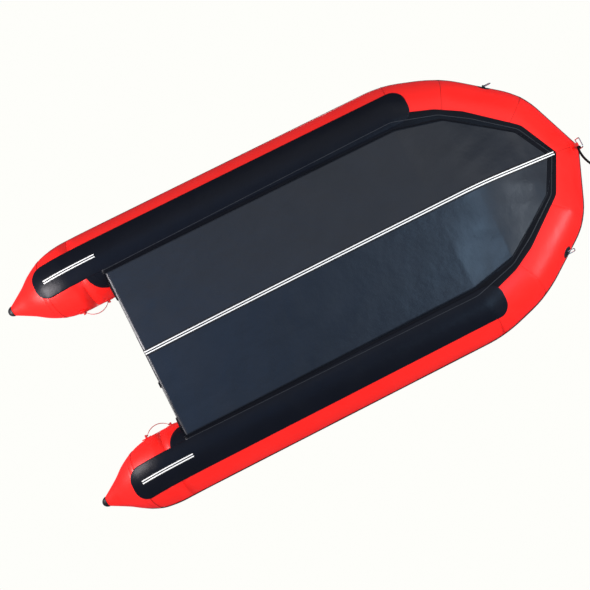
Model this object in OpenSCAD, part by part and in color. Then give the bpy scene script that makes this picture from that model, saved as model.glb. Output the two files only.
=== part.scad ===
// Inflatable sport boat with a V bottom, a plywood transom and lift-out floor boards.
// X is athwart, port positive. The bow points to -Y and the stern cones to +Y. Z is up.
// Lengths named s run forward from the transom's aft face.

/* [Tubes] */
// Radius of the inflated tubes
tube_r = 235; // [225:1:240]
// Drawn thickness of the coated fabric of the tubes
tube_wall = 3; // [2:0.5:4]
// Height of the side tubes' axes above the lowest point of the keel
axis_z = 325; // [320:1:330]
// Half the spacing of the side tubes' axes at the cone tips
half_spacing_tip = 700; // [690:1:710]
// Half the spacing of the side tubes' axes at the first mitre
half_spacing_fwd = 677; // [670:1:684]
// Length of the side tubes from the transom to the first mitre
side_len = 2102; // [2080:1:2130]
// Distance from the transom aft to the cone tips
stern_len = 692; // [680:1:700]
// Height of the cone tips above the side tubes' axes
stern_rise = 163; // [150:1:170]

/* [Bow] */
// Distance forward of the transom of the second mitre
mitre_2_s = 2388; // [2380:1:2395]
// Half-breadth of the tube axis at the second mitre
mitre_2_half = 585; // [580:1:590]
// Distance forward of the transom of the third mitre
mitre_3_s = 2744; // [2735:1:2750]
// Half-breadth of the tube axis at the third mitre
mitre_3_half = 318; // [312:1:324]
// Distance forward of the transom of the bow mitre
bow_s = 2869; // [2860:1:2875]
// Rise of the tube axis at the second mitre
rise_2 = 45; // [40:1:50]
// Rise of the tube axis at the third mitre
rise_3 = 120; // [114:1:126]
// Rise of the tube axis at the bow mitre
rise_bow = 165; // [160:1:170]

/* [Bottom] */
// Drawn thickness of the bottom panels
panel_t = 3; // [2:0.5:4]
// Height of the keel at the transom
keel_stern_z = 50; // [40:1:55]
// Distance forward of the transom where the keel reaches its lowest
keel_low_s = 1500; // [1300:10:1600]
// Distance inboard of the tube axis where a panel meets its side tube
chine_in = 96; // [94:1:98]
// Width of the keel guard
guard_w = 44; // [36:1:50]
// Thickness of the guard strips
guard_t = 5; // [4:0.5:6]
// Thickness of the glued patches and doublers
patch_t = 1.7; // [1.2:0.1:2]
// How far the doublers reach outboard of the tube axis
doubler_out = 143; // [135:1:150]
// How far the doublers reach inboard of the tube axis
doubler_in = 78; // [72:1:82]

/* [Transom] */
// Thickness of the transom board
transom_t = 35; // [30:1:40]
// Height of the cut-out that an outboard motor clamps on
transom_top_z = 441; // [430:1:450]
// Height of the transom's shoulders beside the cut-out
shoulder_z = 480; // [470:1:485]
// Half the width of the cut-out
cutout_half = 210; // [190:1:230]
// Distance of the drain valve to port of the keel
drain_x = 218; // [200:1:240]
// Radius of the bore of the drain valve
drain_bore_r = 12.5; // [11:0.5:13]

/* [Interior] */
// Underside of the floor boards
floor_z = 155; // [153:1:156]
// Thickness of the floor boards
floor_t = 15; // [12:1:15]
// Underside of the benches
bench_z = 461; // [458:1:464]
// Thickness of the benches
bench_t = 18; // [16:1:18]
// Width of a bench, fore and aft
bench_w = 220; // [180:1:260]
// Radius of the bore of the rowlock sockets
socket_bore_r = 6.5; // [5:0.5:8]
// Distance forward of the transom of the rowlock sockets
socket_s = 1330; // [1200:10:1450]

/* [Fittings] */
// Radius of the wire of the bow ring
bow_wire_r = 3.5; // [3:0.1:3.8]
// Half the width of the bow ring, to the middle of its wire
bow_ring_half = 34; // [33:1:36]
// Radius of the wire of the side rings
side_wire_r = 3; // [2.5:0.1:3.5]
// Half the width of the side rings, to the middle of their wire
side_ring_half = 22; // [20:1:24]
// Radius of the painter rope
rope_r = 8; // [7:0.5:8]
// Width of the webbing of the stern handles
webbing_w = 25; // [20:1:30]

/* [Hidden] */
$fn = 96;
eps = 0.3;              // gap between glued layers
far = 4000;             // longer than the boat
red = [0.86, 0.08, 0.06];
black = [0.08, 0.09, 0.11];
white = [0.93, 0.93, 0.92];
steel = [0.75, 0.76, 0.78];
grey = [0.35, 0.37, 0.4];
alloy = [0.7, 0.71, 0.72];

// Bow ring: place on the crease of the bow, and how it hangs
ring_down = 20;         // angle of the patch below the horizontal
bow_surface = 245.8;    // from the bow mitre to the crease along that angle
bow_lift = 20;          // bar above the tube's surface
bow_ring_rho = 56;      // angle of the ring to the surface
bow_ring_depth = 45;    // from bar to bar
bow_hinge = bow_surface + bow_lift;
bow_droop = ring_down + 90 - bow_ring_rho;
fore_reach = bow_s + bow_hinge * cos(ring_down) + bow_ring_depth * cos(bow_droop) + bow_wire_r;
transom_y = (fore_reach - stern_len) / 2;

// Points of the tube axis on the port side, from the cone tip to the bow mitre
function at(x, s, z) = [x, transom_y - s, z];
knee_s = -132;          // where the stern starts to rise
function spacing(s) = half_spacing_fwd
    + (half_spacing_tip - half_spacing_fwd) * (side_len - s) / (side_len + stern_len);
tip = at(half_spacing_tip, -stern_len, axis_z + stern_rise);
knee = at(spacing(knee_s), knee_s, axis_z);
mitre_1 = at(half_spacing_fwd, side_len, axis_z);
mitre_2 = at(mitre_2_half, mitre_2_s, axis_z + rise_2);
mitre_3 = at(mitre_3_half, mitre_3_s, axis_z + rise_3);
bow = at(0, bow_s, axis_z + rise_bow);
path = [tip, knee, mitre_1, mitre_2, mitre_3, bow];
function unit(v) = v / norm(v);
function seg_dir(i) = unit(path[i + 1] - path[i]);
// Normal of the mitre plane at path point i
function cut_normal(i) = i == 5 ? [-1, 0, 0] : unit(seg_dir(i - 1) + seg_dir(i));

// Stern cone: distance from the tip along the rising axis, and radius
cone_profile = [[40, 34], [169, 107], [237, 153], [304, 188], [355, 210], [440, 228], [542, 0]];
function profile_r(p) = p[1] == 0 ? tube_r : p[1];
seam_t = 355;           // where the cone is joined to the side tube

// Keel line: outer face of the guard
keel_rise_s = 2276;     // where the forefoot starts to rise
keel_slope = 0.5;       // slope of the straight stretch of the forefoot
keel_knee_s = 2600;     // where that stretch starts
keel_end_s = 2967;
keel_k = keel_slope / (2 * (keel_knee_s - keel_rise_s));
function keel_z(s) =
    s < keel_low_s ? keel_stern_z * pow(1 - s / keel_low_s, 2)
    : s < keel_rise_s ? 0
    : s < keel_knee_s ? keel_k * pow(s - keel_rise_s, 2)
    : keel_k * pow(keel_knee_s - keel_rise_s, 2) + keel_slope * (s - keel_knee_s);

// Plan of the chine, as distance forward and half-breadth
chine = [
    [0, spacing(0) - chine_in], [2091, spacing(2091) - chine_in], [2398, 507], [2785, 231],
    [keel_end_s, 0]
];
function along_list(list, s, i = 0) =
    i >= len(list) - 2 || s <= list[i + 1][0]
    ? list[i][1] + (list[i + 1][1] - list[i][1]) * (s - list[i][0]) / (list[i + 1][0] - list[i][0])
    : along_list(list, s, i + 1);
function chine_half(s) = along_list(chine, s);

// Underside of the port tubes above a point of the plan: the nearest piece of the path counts
function plan(p) = [p.x, transom_y - p.y];
function foot(i, q) =
    let (a = plan(path[i]), b = plan(path[i + 1]), d = b - a)
    min(1, max(0, (q - a) * d / (d * d)));
function off_axis(i, q) =
    let (a = plan(path[i]), b = plan(path[i + 1]))
    norm(q - a - foot(i, q) * (b - a));
function nearest(q) =
    let (gaps = [for (i = [1:4]) off_axis(i, q)])
    [for (i = [1:4]) if (gaps[i - 1] == min(gaps)) i][0];
function slant(i) = norm(path[i + 1] - path[i]) / norm(plan(path[i + 1]) - plan(path[i]));
function under_z(x, s) =
    let (q = [x, s], i = nearest(q), gap = min(tube_r, off_axis(i, q)))
    path[i].z + foot(i, q) * (path[i + 1].z - path[i].z)
    - slant(i) * sqrt(tube_r * tube_r - gap * gap);

// Outer face of the port bottom panel
chine_gap = 4.2;
function panel_z(x, s) =
    let (h = chine_half(s), z0 = keel_z(s) + guard_t + eps, z1 = under_z(h, s) - chine_gap - panel_t)
    z0 + (z1 - z0) * (h > 0 ? x / h : 0);

// Turns the Z axis of its children from p towards q
module along(p, q) {
    d = q - p;
    translate(p) rotate([0, acos(d.z / norm(d)), atan2(d.y, d.x)]) children();
}
// Half-space on the side of p that n points to
module half_space(p, n) {
    along(p, p + n) translate([-far, -far, 0]) cube([2 * far, 2 * far, far]);
}
module on_side(side) {
    mirror([side < 0 ? 1 : 0, 0, 0]) children();
}

// The rising stern end of a side tube with its cone, e proud of the surface, from t0 along the axis
module tail(e, t0) {
    end = norm(knee - tip) + tube_r;
    stern = [for (p = cone_profile) if (p[0] >= t0) [profile_r(p) + e, p[0]]];
    along(tip, knee) rotate_extrude()
        polygon(concat([[0, t0]], stern, [[tube_r + e, end], [0, end]]));
}
// One straight length of tube, uncut; length 0 is the rising tail
module rod(i, e, t0 = 40) {
    d = seg_dir(i);
    if (i == 0) tail(e, t0);
    else along(path[i] - d * tube_r, path[i + 1])
        cylinder(h = norm(path[i + 1] - path[i]) + 2 * tube_r, r = tube_r + e);
}
// The same length cut at its mitres
module piece(i, e, t0 = 40) {
    intersection() {
        rod(i, e, t0);
        if (i > 0) half_space(path[i], cut_normal(i));
        half_space(path[i + 1], -cut_normal(i + 1));
    }
}
// A skin over one length of tube, from e0 to e1 proud of it, that stops at the glue line of each mitre.
// A sweep below 360 keeps that much of its underside, turned outboard by turn
mitre_glue = 0.05;
module skin(i, e0, e1, t0 = 169, sweep = 360, turn = 0) {
    run = norm(path[i + 1] - path[i]) + tube_r;
    line = i > 0 ? [[tube_r, -tube_r], [tube_r, run]]
        : concat([for (p = cone_profile) if (p[0] >= t0) [profile_r(p), p[0]]], [[tube_r, run]]);
    last = len(line) - 1;
    intersection() {
        along(path[i], path[i + 1]) rotate([0, 0, turn - sweep / 2]) rotate_extrude(angle = sweep)
            polygon(concat(
            [for (p = line) p + [e1, 0]], [for (k = [last:-1:0]) line[k] + [e0, 0]]));
        if (i > 0) half_space(path[i] + mitre_glue * cut_normal(i), cut_normal(i));
        half_space(path[i + 1] - mitre_glue * cut_normal(i + 1), -cut_normal(i + 1));
    }
}
// On the port side tube's axis at s: Z forward, Y outboard, X down
module at_s(s) {
    along(knee, mitre_1) translate([0, 0, s - knee_s]) children();
}
// Prism of a plan outline given as [half-breadth, s], through the whole height
module plan_prism(points) {
    translate([0, transom_y, -far / 2]) mirror([0, 1, 0]) linear_extrude(far) polygon(points);
}
// Prism in the port side tube's own frame: 2D x is outboard of the axis, 2D y is s
module tube_prism() {
    at_s(0) rotate([90, 0, 90]) linear_extrude(2 * tube_r) children();
}
module rounded_plate(x0, x1, y0, y1, r) {
    translate([x0 + r, y0]) square([x1 - x0 - 2 * r, y1 - y0]);
    translate([x0, y0 + r]) square([x1 - x0, y1 - y0 - 2 * r]);
    for (x = [x0 + r, x1 - r], y = [y0 + r, y1 - r]) translate([x, y]) circle(r);
}

// ---- tubes ----
valve_hole_r = 19;
valve_neck_r = 18.8;
side_valve_s = 330;
valve_turn = 35;        // angle of the valves from the top of the tube, inboard
module on_side_valve() {
    at_s(side_valve_s) rotate([0, 0, valve_turn]) rotate([0, -90, 0])
        translate([0, 0, tube_r]) children();
}
module on_bow_valve() {
    along(mitre_2, mitre_3) translate([0, 0, norm(mitre_3 - mitre_2) / 2])
        rotate([0, 0, valve_turn]) rotate([0, -90, 0]) translate([0, 0, tube_r]) children();
}
module valve_hole() {
    translate([0, 0, -30]) cylinder(h = 60, r = valve_hole_r);
}
module side_tube(side) {
    color(red) on_side(side) {
        skin(0, -tube_wall, 0, seam_t);
        difference() {
            skin(1, -tube_wall, 0);
            on_side_valve() valve_hole();
        }
    }
}
module bow_tube() {
    color(red) for (side = [-1, 1], i = [2:4]) on_side(side) difference() {
        skin(i, -tube_wall, 0);
        if (side > 0 && i == 3) on_bow_valve() valve_hole();
    }
}
module cone(side) {
    neck = cone_profile[0];
    color(red) on_side(side) along(tip, knee) rotate_extrude() polygon(concat(
        [[0, neck[0]]],
        [for (p = cone_profile) if (p[0] <= seam_t) [p[1], p[0]]],
        [for (i = [4:-1:1]) [cone_profile[i][1] - tube_wall, cone_profile[i][0]]],
        [[neck[1] - tube_wall, neck[0] + tube_wall + 2], [0, neck[0] + tube_wall]]
    ));
}
module cone_cap(side) {
    neck = cone_profile[0];
    color(black) on_side(side) along(tip, knee) rotate_extrude() polygon(concat(
        [for (a = [0:15:90]) [neck[1] * sin(a), neck[0] * (1 - cos(a))]],
        [[0, neck[0]]]
    ));
}
module baffles() {
    gap = 0.1;
    color(red) for (side = [-1, 1]) on_side(side) intersection() {
        rod(1, -tube_wall - gap);
        half_space(mitre_1, -cut_normal(2));
        half_space(mitre_1 - cut_normal(2) * tube_wall, cut_normal(2));
    }
}

// ---- patches on the tubes ----
doubler_aft_s = -462;
doubler_fwd_s = 2242;
doubler_corner = 90;
module doubler_outline(grow) {
    tube_prism() rounded_plate(-doubler_in - grow, doubler_out + grow, doubler_aft_s - grow,
        doubler_fwd_s + grow, doubler_corner);
}
module doubler(side) {
    color(black) on_side(side) for (i = [0:2]) intersection() {
        skin(i, eps, eps + patch_t);
        doubler_outline(0);
    }
}
tube_guard_s0 = -390;
tube_guard_s1 = -15;
tube_guard_w = 34;
tube_guard_out = 33; // its middle outboard of the tube's axis
module tube_guard(side) {
    over = eps + patch_t + eps;
    sweep = 2 * asin(tube_guard_w / 2 / tube_r);
    color(white) on_side(side) for (i = [0, 1]) intersection() {
        skin(i, over, over + guard_t / 2, sweep = sweep, turn = asin(tube_guard_out / tube_r));
        half_space(at(0, tube_guard_s0, 0), [0, -1, 0]);
        half_space(at(0, tube_guard_s1, 0), [0, 1, 0]);
    }
}
// The band between the bottom and the tubes: distance forward, and half-breadth of its outer edge
tape_outer = [[12, 640], [2091, 690], [2380, 590], [2540, 500], [2840, 255], [3000, 0]];
tape_gap = 0.8;
module seam_tape(side) {
    inner = [for (i = [3:-1:1]) [chine[i][1] + tape_gap, chine[i][0] + tape_gap]];
    color(black) on_side(side) for (i = [1:4]) difference() {
        intersection() {
            skin(i, eps, eps + patch_t);
            plan_prism(concat(
                [for (p = tape_outer) [p[1], p[0]]],
                [[0, keel_end_s + 10]], inner, [[chine_half(12) + tape_gap, 12]]
            ));
            half_space(at(guard_w / 2 + 2, 0, 0), [1, 0, 0]);
        }
        doubler_outline(eps);
        half_space(at(0, 0, axis_z + rise_2 - 60), [0, 0, 1]);
    }
}
patch_r = 116;
patch_in = 53;
module transom_patch(side) {
    color(black) on_side(side) difference() {
        intersection() {
            skin(1, eps, eps + patch_t);
            tube_prism() translate([-patch_in, -15]) circle(patch_r);
            half_space(at(0, -16, 0), [0, 1, 0]);
        }
        doubler_outline(eps);
    }
}
rail_t0 = 248;
rail_half = 11;
rail_proud = 4;
module rub_rail() {
    color(black) for (side = [-1, 1]) on_side(side) for (i = [0:4]) intersection() {
        skin(i, eps, rail_proud, 237);
        start = i == 0 ? path[0] : path[i] - seg_dir(i) * tube_r;
        along(start, path[i + 1]) translate([-rail_half, 0, i == 0 ? rail_t0 : 0])
            cube([2 * rail_half, 2 * tube_r, far]);
    }
}

// ---- bottom ----
// Stations along the keel, closer together where the chine bends inwards
function span(a, b, n) = [for (k = [0:n - 1]) a + (b - a) * k / n];
bottom_end_s = keel_end_s - 16;
stations = concat(span(0, chine[1][0], 24), span(chine[1][0], chine[2][0], 12),
    span(chine[2][0], chine[3][0], 16), span(chine[3][0], bottom_end_s, 8), [bottom_end_s]);
across = 8;
module bottom_panel(side) {
    inner_x = 0.2;
    last = len(stations) - 1;
    row = across + 1;
    layer = (last + 1) * row;
    points = [for (top = [0, 1], s = stations, j = [0:across])
        let (x = inner_x + (chine_half(s) - inner_x) * j / across) at(x, s, panel_z(x, s) + top * panel_t)];
    function id(top, i, j) = top * layer + i * row + j;
    skins = [for (top = [0, 1], i = [0:last - 1], j = [0:across - 1], half = [0, 1])
        let (a = id(top, i, j), b = id(top, i + 1, j), c = id(top, i + 1, j + 1), d = id(top, i, j + 1),
            f = half == 0 ? [a, b, c] : [a, c, d])
        top == 0 ? f : [f[2], f[1], f[0]]];
    sides = [for (i = [0:last - 1], edge = [0, across], half = [0, 1])
        let (a = id(0, i, edge), b = id(0, i + 1, edge), c = id(1, i + 1, edge), d = id(1, i, edge),
            f = half == 0 ? [a, c, b] : [a, d, c])
        edge == 0 ? f : [f[2], f[1], f[0]]];
    ends = [for (j = [0:across - 1], end = [0, last], half = [0, 1])
        let (a = id(0, end, j), b = id(0, end, j + 1), c = id(1, end, j + 1), d = id(1, end, j),
            f = half == 0 ? [a, b, c] : [a, c, d])
        end == 0 ? f : [f[2], f[1], f[0]]];
    color(black) on_side(side) polyhedron(points, concat(skins, sides, ends));
}
// The strip follows the V of the bottom: five points across, two layers
module keel_guard() {
    steps = len(stations) - 1;
    xs = [-guard_w / 2, -guard_w / 4, 0, guard_w / 4, guard_w / 2];
    n = len(xs);
    ring = 2 * n;
    function top_z(x, s) = panel_z(min(abs(x), chine_half(s)), s) - eps;
    points = [for (s = stations, k = [0:ring - 1])
        let (x = k < n ? xs[k] : xs[ring - 1 - k], z = top_z(x, s)) at(x, s, k < n ? z - guard_t : z)];
    walls = [for (i = [0:steps - 1], k = [0:ring - 1], half = [0, 1])
        let (a = i * ring + k, b = i * ring + (k + 1) % ring, c = a + ring, d = b + ring)
        half == 0 ? [a, c, d] : [a, d, b]];
    caps = [for (k = [0:n - 2], half = [0, 1])
        let (a = k, b = k + 1, c = ring - 2 - k, d = ring - 1 - k)
        half == 0 ? [a, b, c] : [a, c, d]];
    far_caps = [for (f = caps) [for (v = [2:-1:0]) f[v] + steps * ring]];
    color(black) polyhedron(points, concat(walls, caps, far_caps));
}
hem_t = 3;
hem_h = 40;
module stern_hem() {
    z0 = panel_z(0, 0);
    z1 = panel_z(chine_half(0), 0);
    h = chine_half(0);
    color(black) difference() {
        translate([0, transom_y + eps + hem_t, 0]) rotate([90, 0, 0]) linear_extrude(hem_t)
            polygon([[-h, z1], [0, z0], [h, z1], [h, z1 + hem_h], [0, z0 + hem_h], [-h, z1 + hem_h]]);
        tube_gap(tube_r + holder_depth + 0.5);
        translate([drain_x, transom_y + 50, drain_z]) rotate([90, 0, 0]) cylinder(h = 100, r = 28);
    }
}
air_keel_aft = at(0, 110, 102);
air_keel_fore = at(0, 2380, 80);
air_keel_run = norm(air_keel_fore - air_keel_aft);
air_keel_profile = [[20, 0], [44, 60], [63, 1100], [63, 1750], [22, air_keel_run]];
module air_keel_solid(e) {
    along(air_keel_aft, air_keel_fore) rotate_extrude() polygon(concat(
        [[0, 0]], [for (p = air_keel_profile) p + [e, 0]], [[0, air_keel_run]]));
}
module air_keel() {
    color(black) difference() {
        air_keel_solid(0);
        along(air_keel_aft, air_keel_fore) rotate_extrude() polygon([[0, 3], [18, 3], [41, 62],
            [60, 1100], [60, 1750], [19, air_keel_run - 3], [0, air_keel_run - 3]]);
        keel_valve_place() valve_hole();
    }
}

// ---- transom ----
holder_depth = 28;
holder_base = 6;
board_half = 600;
module board_profile() {
    polygon([
        [-board_half, 114], [0, 62], [board_half, 114], [board_half, shoulder_z],
        [cutout_half + 45, shoulder_z], [cutout_half, transom_top_z],
        [-cutout_half, transom_top_z], [-cutout_half - 45, shoulder_z], [-board_half, shoulder_z]
    ]);
}
module tube_gap(r) {
    for (side = [-1, 1]) on_side(side) at_s(-100) cylinder(h = 300, r = r);
}
pad_half = 150;
pad_t = 8;
bolt_r = 4;
bolt_x = 125;
bolt_zs = [transom_top_z - 16, transom_top_z - 86];
drain_z = 128;
drain_neck_r = 15;
module bolt_holes(r) {
    for (x = [-bolt_x, bolt_x], z = bolt_zs) translate([x, transom_y + 50, z]) rotate([90, 0, 0])
        cylinder(h = 150, r = r);
}
module transom_board() {
    color(grey) difference() {
        translate([0, transom_y, 0]) rotate([90, 0, 0]) linear_extrude(transom_t) board_profile();
        tube_gap(tube_r + holder_base);
        bolt_holes(bolt_r + 0.3);
        translate([drain_x, transom_y + 50, drain_z]) rotate([90, 0, 0])
            cylinder(h = 150, r = drain_neck_r + 0.2);
    }
}
module inner_motor_pad() {
    color(black) difference() {
        translate([0, transom_y - transom_t, 0]) rotate([90, 0, 0]) linear_extrude(pad_t)
            rounded_plate(-pad_half, pad_half, transom_top_z - 110, transom_top_z, 12);
        bolt_holes(bolt_r + 0.3);
    }
}
bolt_head_r = 8;
bolt_head_t = 3.5;
module outer_motor_pad() {
    color(black) difference() {
        translate([0, transom_y + pad_t, 0]) rotate([90, 0, 0]) linear_extrude(pad_t)
            rounded_plate(-pad_half, pad_half, transom_top_z - 230, transom_top_z, 12);
        bolt_holes(bolt_r + 0.3);
        for (x = [-bolt_x, bolt_x], z = bolt_zs) translate([x, transom_y + pad_t + 10, z])
            rotate([90, 0, 0]) cylinder(h = 10 + bolt_head_t + 1, r = bolt_head_r + 0.4);
    }
}
module motor_pad_bolts() {
    grip = transom_t + 2 * pad_t;
    color(steel) for (x = [-bolt_x, bolt_x], z = bolt_zs)
        translate([x, transom_y + pad_t, z]) rotate([90, 0, 0]) {
            translate([0, 0, 0.5]) cylinder(h = bolt_head_t, r = bolt_head_r);
            translate([0, 0, 1]) cylinder(h = grip - 1, r = bolt_r);
            translate([0, 0, grip]) cylinder(h = 2 * bolt_head_t, r = bolt_head_r, $fn = 6);
        }
}
module transom_holder(side) {
    sweep = 88;
    start = -128;
    lip = 14;
    color(black) on_side(side) difference() {
        at_s(-lip) rotate([0, 0, start]) rotate_extrude(angle = sweep)
            translate([tube_r + eps + 0.1, 0])
            square([holder_depth - eps - 0.1, transom_t + 2 * lip]);
        difference() {
            translate([-far / 2, transom_y - transom_t - eps, 0]) cube([far, transom_t + 2 * eps, far / 4]);
            tube_gap(tube_r + holder_base - eps);
        }
    }
}
module drain_valve() {
    color(black) translate([drain_x, transom_y, drain_z]) rotate([90, 0, 0]) difference() {
        union() {
            translate([0, 0, -12]) cylinder(h = 12, r = 20);
            translate([0, 0, -4]) cylinder(h = 4, r = 26);
            cylinder(h = transom_t, r = drain_neck_r);
            translate([0, 0, transom_t]) cylinder(h = 5, r = 24);
        }
        translate([0, 0, -20]) cylinder(h = 80, r = drain_bore_r);
    }
}
module drain_plug() {
    color(grey) translate([drain_x, transom_y, drain_z]) rotate([90, 0, 0]) {
        translate([0, 0, 6]) cylinder(h = transom_t + 5 - 6, r = drain_bore_r - 0.08);
        translate([0, 0, transom_t + 5 + eps]) cylinder(h = 5, r = 20);
        translate([0, 0, transom_t + 4]) cylinder(h = 3, r = 10);
        translate([-14, -3, transom_t + 10]) cube([28, 6, 14]);
    }
}

// ---- webbing handles behind the transom ----
handle_s = -150;
handle_half = 78;
handle_rise = 38;
handle_lift = 11;
handle_r = (handle_half * handle_half + handle_rise * handle_rise) / (2 * handle_rise);
pin_r = 4;
// Local frame: X forward along the tube, Z inboard, on the tube's surface
module on_handle() {
    at_s(handle_s) rotate([90, 0, 0]) rotate([0, 0, 90]) translate([0, 0, tube_r]) children();
}
module handle(side) {
    sweep = 2 * asin(handle_half / handle_r);
    band = 3;
    color(red) on_side(side) on_handle() translate([0, 0, handle_lift]) {
        translate([0, 0, handle_rise - handle_r]) rotate([90, 0, 0]) rotate([0, 0, 90 - sweep / 2])
            rotate_extrude(angle = sweep) translate([handle_r - band / 2, -webbing_w / 2])
            square([band, webbing_w]);
        for (k = [-1, 1]) translate([k * (handle_half + 7), 0, 0]) rotate([0, 90, 0])
            cylinder(h = 18, r = pin_r, center = true);
    }
}
module handle_anchors() {
    color(red) for (side = [-1, 1]) on_side(side) difference() {
        union() {
            for (k = [-1, 1]) on_handle() translate([k * (handle_half + 12), 0, -20]) {
                translate([-7, -12, 0]) cube([14, 24, 20 + handle_lift]);
                translate([-7, 0, 20 + handle_lift]) rotate([0, 90, 0]) cylinder(h = 14, r = 9);
            }
            for (k = [-1, 1], i = [0, 1]) intersection() {
                piece(i, 2.2);
                on_handle() translate([k * (handle_half + 12), 0, -40]) cylinder(h = 80, r = 34);
            }
        }
        for (i = [0, 1]) piece(i, eps);
        on_handle() translate([0, 0, handle_lift]) rotate([0, 90, 0])
            cylinder(h = 2 * handle_half + 60, r = pin_r + 0.3, center = true);
    }
}

// ---- rings ----
// Frame on the crease of the bow: Z out of the tube, X along the bar
module on_bow_ring() {
    translate(bow) rotate([90 + ring_down, 0, 0]) translate([0, 0, bow_surface]) children();
}
side_ring_share = 0.58; // place along the second bow piece
side_ring_down = 14;    // angle below the tube's side
module on_side_ring() {
    along(mitre_2, mitre_3) translate([0, 0, side_ring_share * norm(mitre_3 - mitre_2)])
        rotate([0, 0, -side_ring_down]) rotate([-90, 0, 0]) translate([0, 0, tube_r]) children();
}
side_ring_depth = 46;
side_lift = 9;
side_ring_rho = 37;
// A ring of round wire with rounded corners: its bar lies along X and it reaches towards Y
module wire_ring(half, depth, corner, r) {
    rotate([0, 90, 0]) cylinder(h = 2 * half, r = r, center = true);
    translate([0, depth, 0]) rotate([0, 90, 0]) cylinder(h = 2 * (half - corner), r = r, center = true);
    for (k = [-1, 1]) {
        translate([k * half, 0, 0]) {
            sphere(r);
            rotate([-90, 0, 0]) cylinder(h = depth - corner, r = r);
        }
        translate([k * (half - corner), depth - corner, 0]) rotate([0, 0, k > 0 ? 0 : 90])
            rotate_extrude(angle = 90) translate([corner, 0]) circle(r);
    }
}
module saddle(lift, r, len) {
    translate([-len / 2, -r - 4, -25]) cube([len, 2 * r + 8, 25 + lift]);
    translate([-len / 2, 0, lift]) rotate([0, 90, 0]) cylinder(h = len, r = r + 4);
}
module bow_ring_patch() {
    color(red) difference() {
        union() {
            for (side = [-1, 1]) on_side(side) intersection() {
                piece(4, 2.5);
                on_bow_ring() translate([0, 0, -60]) cylinder(h = 120, r = 58);
            }
            on_bow_ring() saddle(bow_lift, bow_wire_r, 27);
        }
        for (side = [-1, 1]) on_side(side) piece(4, eps);
        on_bow_ring() translate([0, 0, bow_lift]) rotate([0, 90, 0])
            cylinder(h = 60, r = bow_wire_r + 0.4, center = true);
    }
}
module bow_ring() {
    color(steel) on_bow_ring() translate([0, 0, bow_lift]) rotate([180 - bow_ring_rho, 0, 0])
        wire_ring(bow_ring_half, bow_ring_depth, 12, bow_wire_r);
}
module ring_patch(side) {
    color(black) on_side(side) difference() {
        union() {
            intersection() {
                rod(3, 2.5);
                on_side_ring() translate([0, 0, -60]) cylinder(h = 120, r = 42);
            }
            on_side_ring() saddle(side_lift, side_wire_r, 22);
        }
        rod(3, eps);
        on_side_ring() translate([0, 0, side_lift]) rotate([0, 90, 0])
            cylinder(h = 50, r = side_wire_r + 0.4, center = true);
    }
}
module side_ring(side) {
    color(steel) on_side(side) on_side_ring() translate([0, 0, side_lift])
        rotate([180 - side_ring_rho, 0, 0]) wire_ring(side_ring_half, side_ring_depth, 10, side_wire_r);
}

// ---- painter ----
// The rope is made fast round the bow ring's bar beside the saddle, where the bar turns in it
knot_x = 22;
knot_r = 10.5;
knot_rope_r = 6;
ring_bar = bow + [0, -bow_hinge * cos(ring_down), -bow_hinge * sin(ring_down)];
// The rope's line from the knot to the coil: athwart, forward of the bow mitre, above the floor
rope_line = [
    [24, 244, 373], [32, 241, 343], [43, 238, 313], [57, 236, 284], [74, 235, 256], [94, 235, 229],
    [117, 237, 204], [142, 242, 180], [168, 250, 157], [194, 260, 135], [221, 271, 113],
    [248, 282, 91], [275, 292, 70], [303, 301, 51], [332, 308, 35], [362, 313, 22], [394, 316, 13],
    [427, 317, 9], [460, 317, 8]
];
rope_points = [for (p = rope_line) at(p[0], bow_s + p[1], p[2])];
knot = ring_bar + [knot_x, 0, 0];
knot_dir = unit(rope_points[0] - knot);
// Four turns, two beside each other and two high
coil_mid = 88;
coil_centre = rope_points[len(rope_points) - 1] - [0, coil_mid + 3 * rope_r + eps, 0];
module painter_eye() {
    color(black) {
        translate(knot) rotate([0, 90, 0]) rotate_extrude() translate([knot_r, 0]) circle(knot_rope_r);
        along(knot + knot_dir * knot_r, rope_points[0])
            cylinder(h = norm(rope_points[0] - knot) - knot_r, r = rope_r);
    }
}
// A round tube swept along points, each ring square to the line; it starts along dir0
module swept(points, r, sides, dir0) {
    n = len(points);
    function dir(i) = i == 0 ? dir0 : unit(points[min(n - 1, i + 1)] - points[i - 1]);
    function ring(i) =
        let (d = dir(i), u = unit(cross(d, [0.3, 1, 0])), v = cross(d, u))
        [for (k = [0:sides - 1]) points[i] + r * (cos(360 * k / sides) * u + sin(360 * k / sides) * v)];
    verts = [for (i = [0:n - 1]) each ring(i)];
    walls = [for (i = [0:n - 2], k = [0:sides - 1], half = [0, 1])
        let (a = i * sides + k, b = i * sides + (k + 1) % sides, c = a + sides, d = b + sides)
        half == 0 ? [a, c, d] : [a, d, b]];
    polyhedron(verts, concat([[for (k = [0:sides - 1]) k]], walls,
        [[for (k = [sides - 1:-1:0]) (n - 1) * sides + k]]));
}
module painter_rope() {
    color(black) swept(rope_points, rope_r, 10, knot_dir);
}
module painter_coil() {
    w = 2 * rope_r;
    h = 4 * rope_r;
    c = rope_r / 2;
    color(black) translate([coil_centre.x, coil_centre.y, 0]) rotate_extrude() polygon([
        [coil_mid - w, c], [coil_mid - w + c, 0], [coil_mid + w - c, 0], [coil_mid + w, c],
        [coil_mid + w, h - c], [coil_mid + w - c, h], [coil_mid - w + c, h], [coil_mid - w, h - c]
    ]);
}

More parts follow.
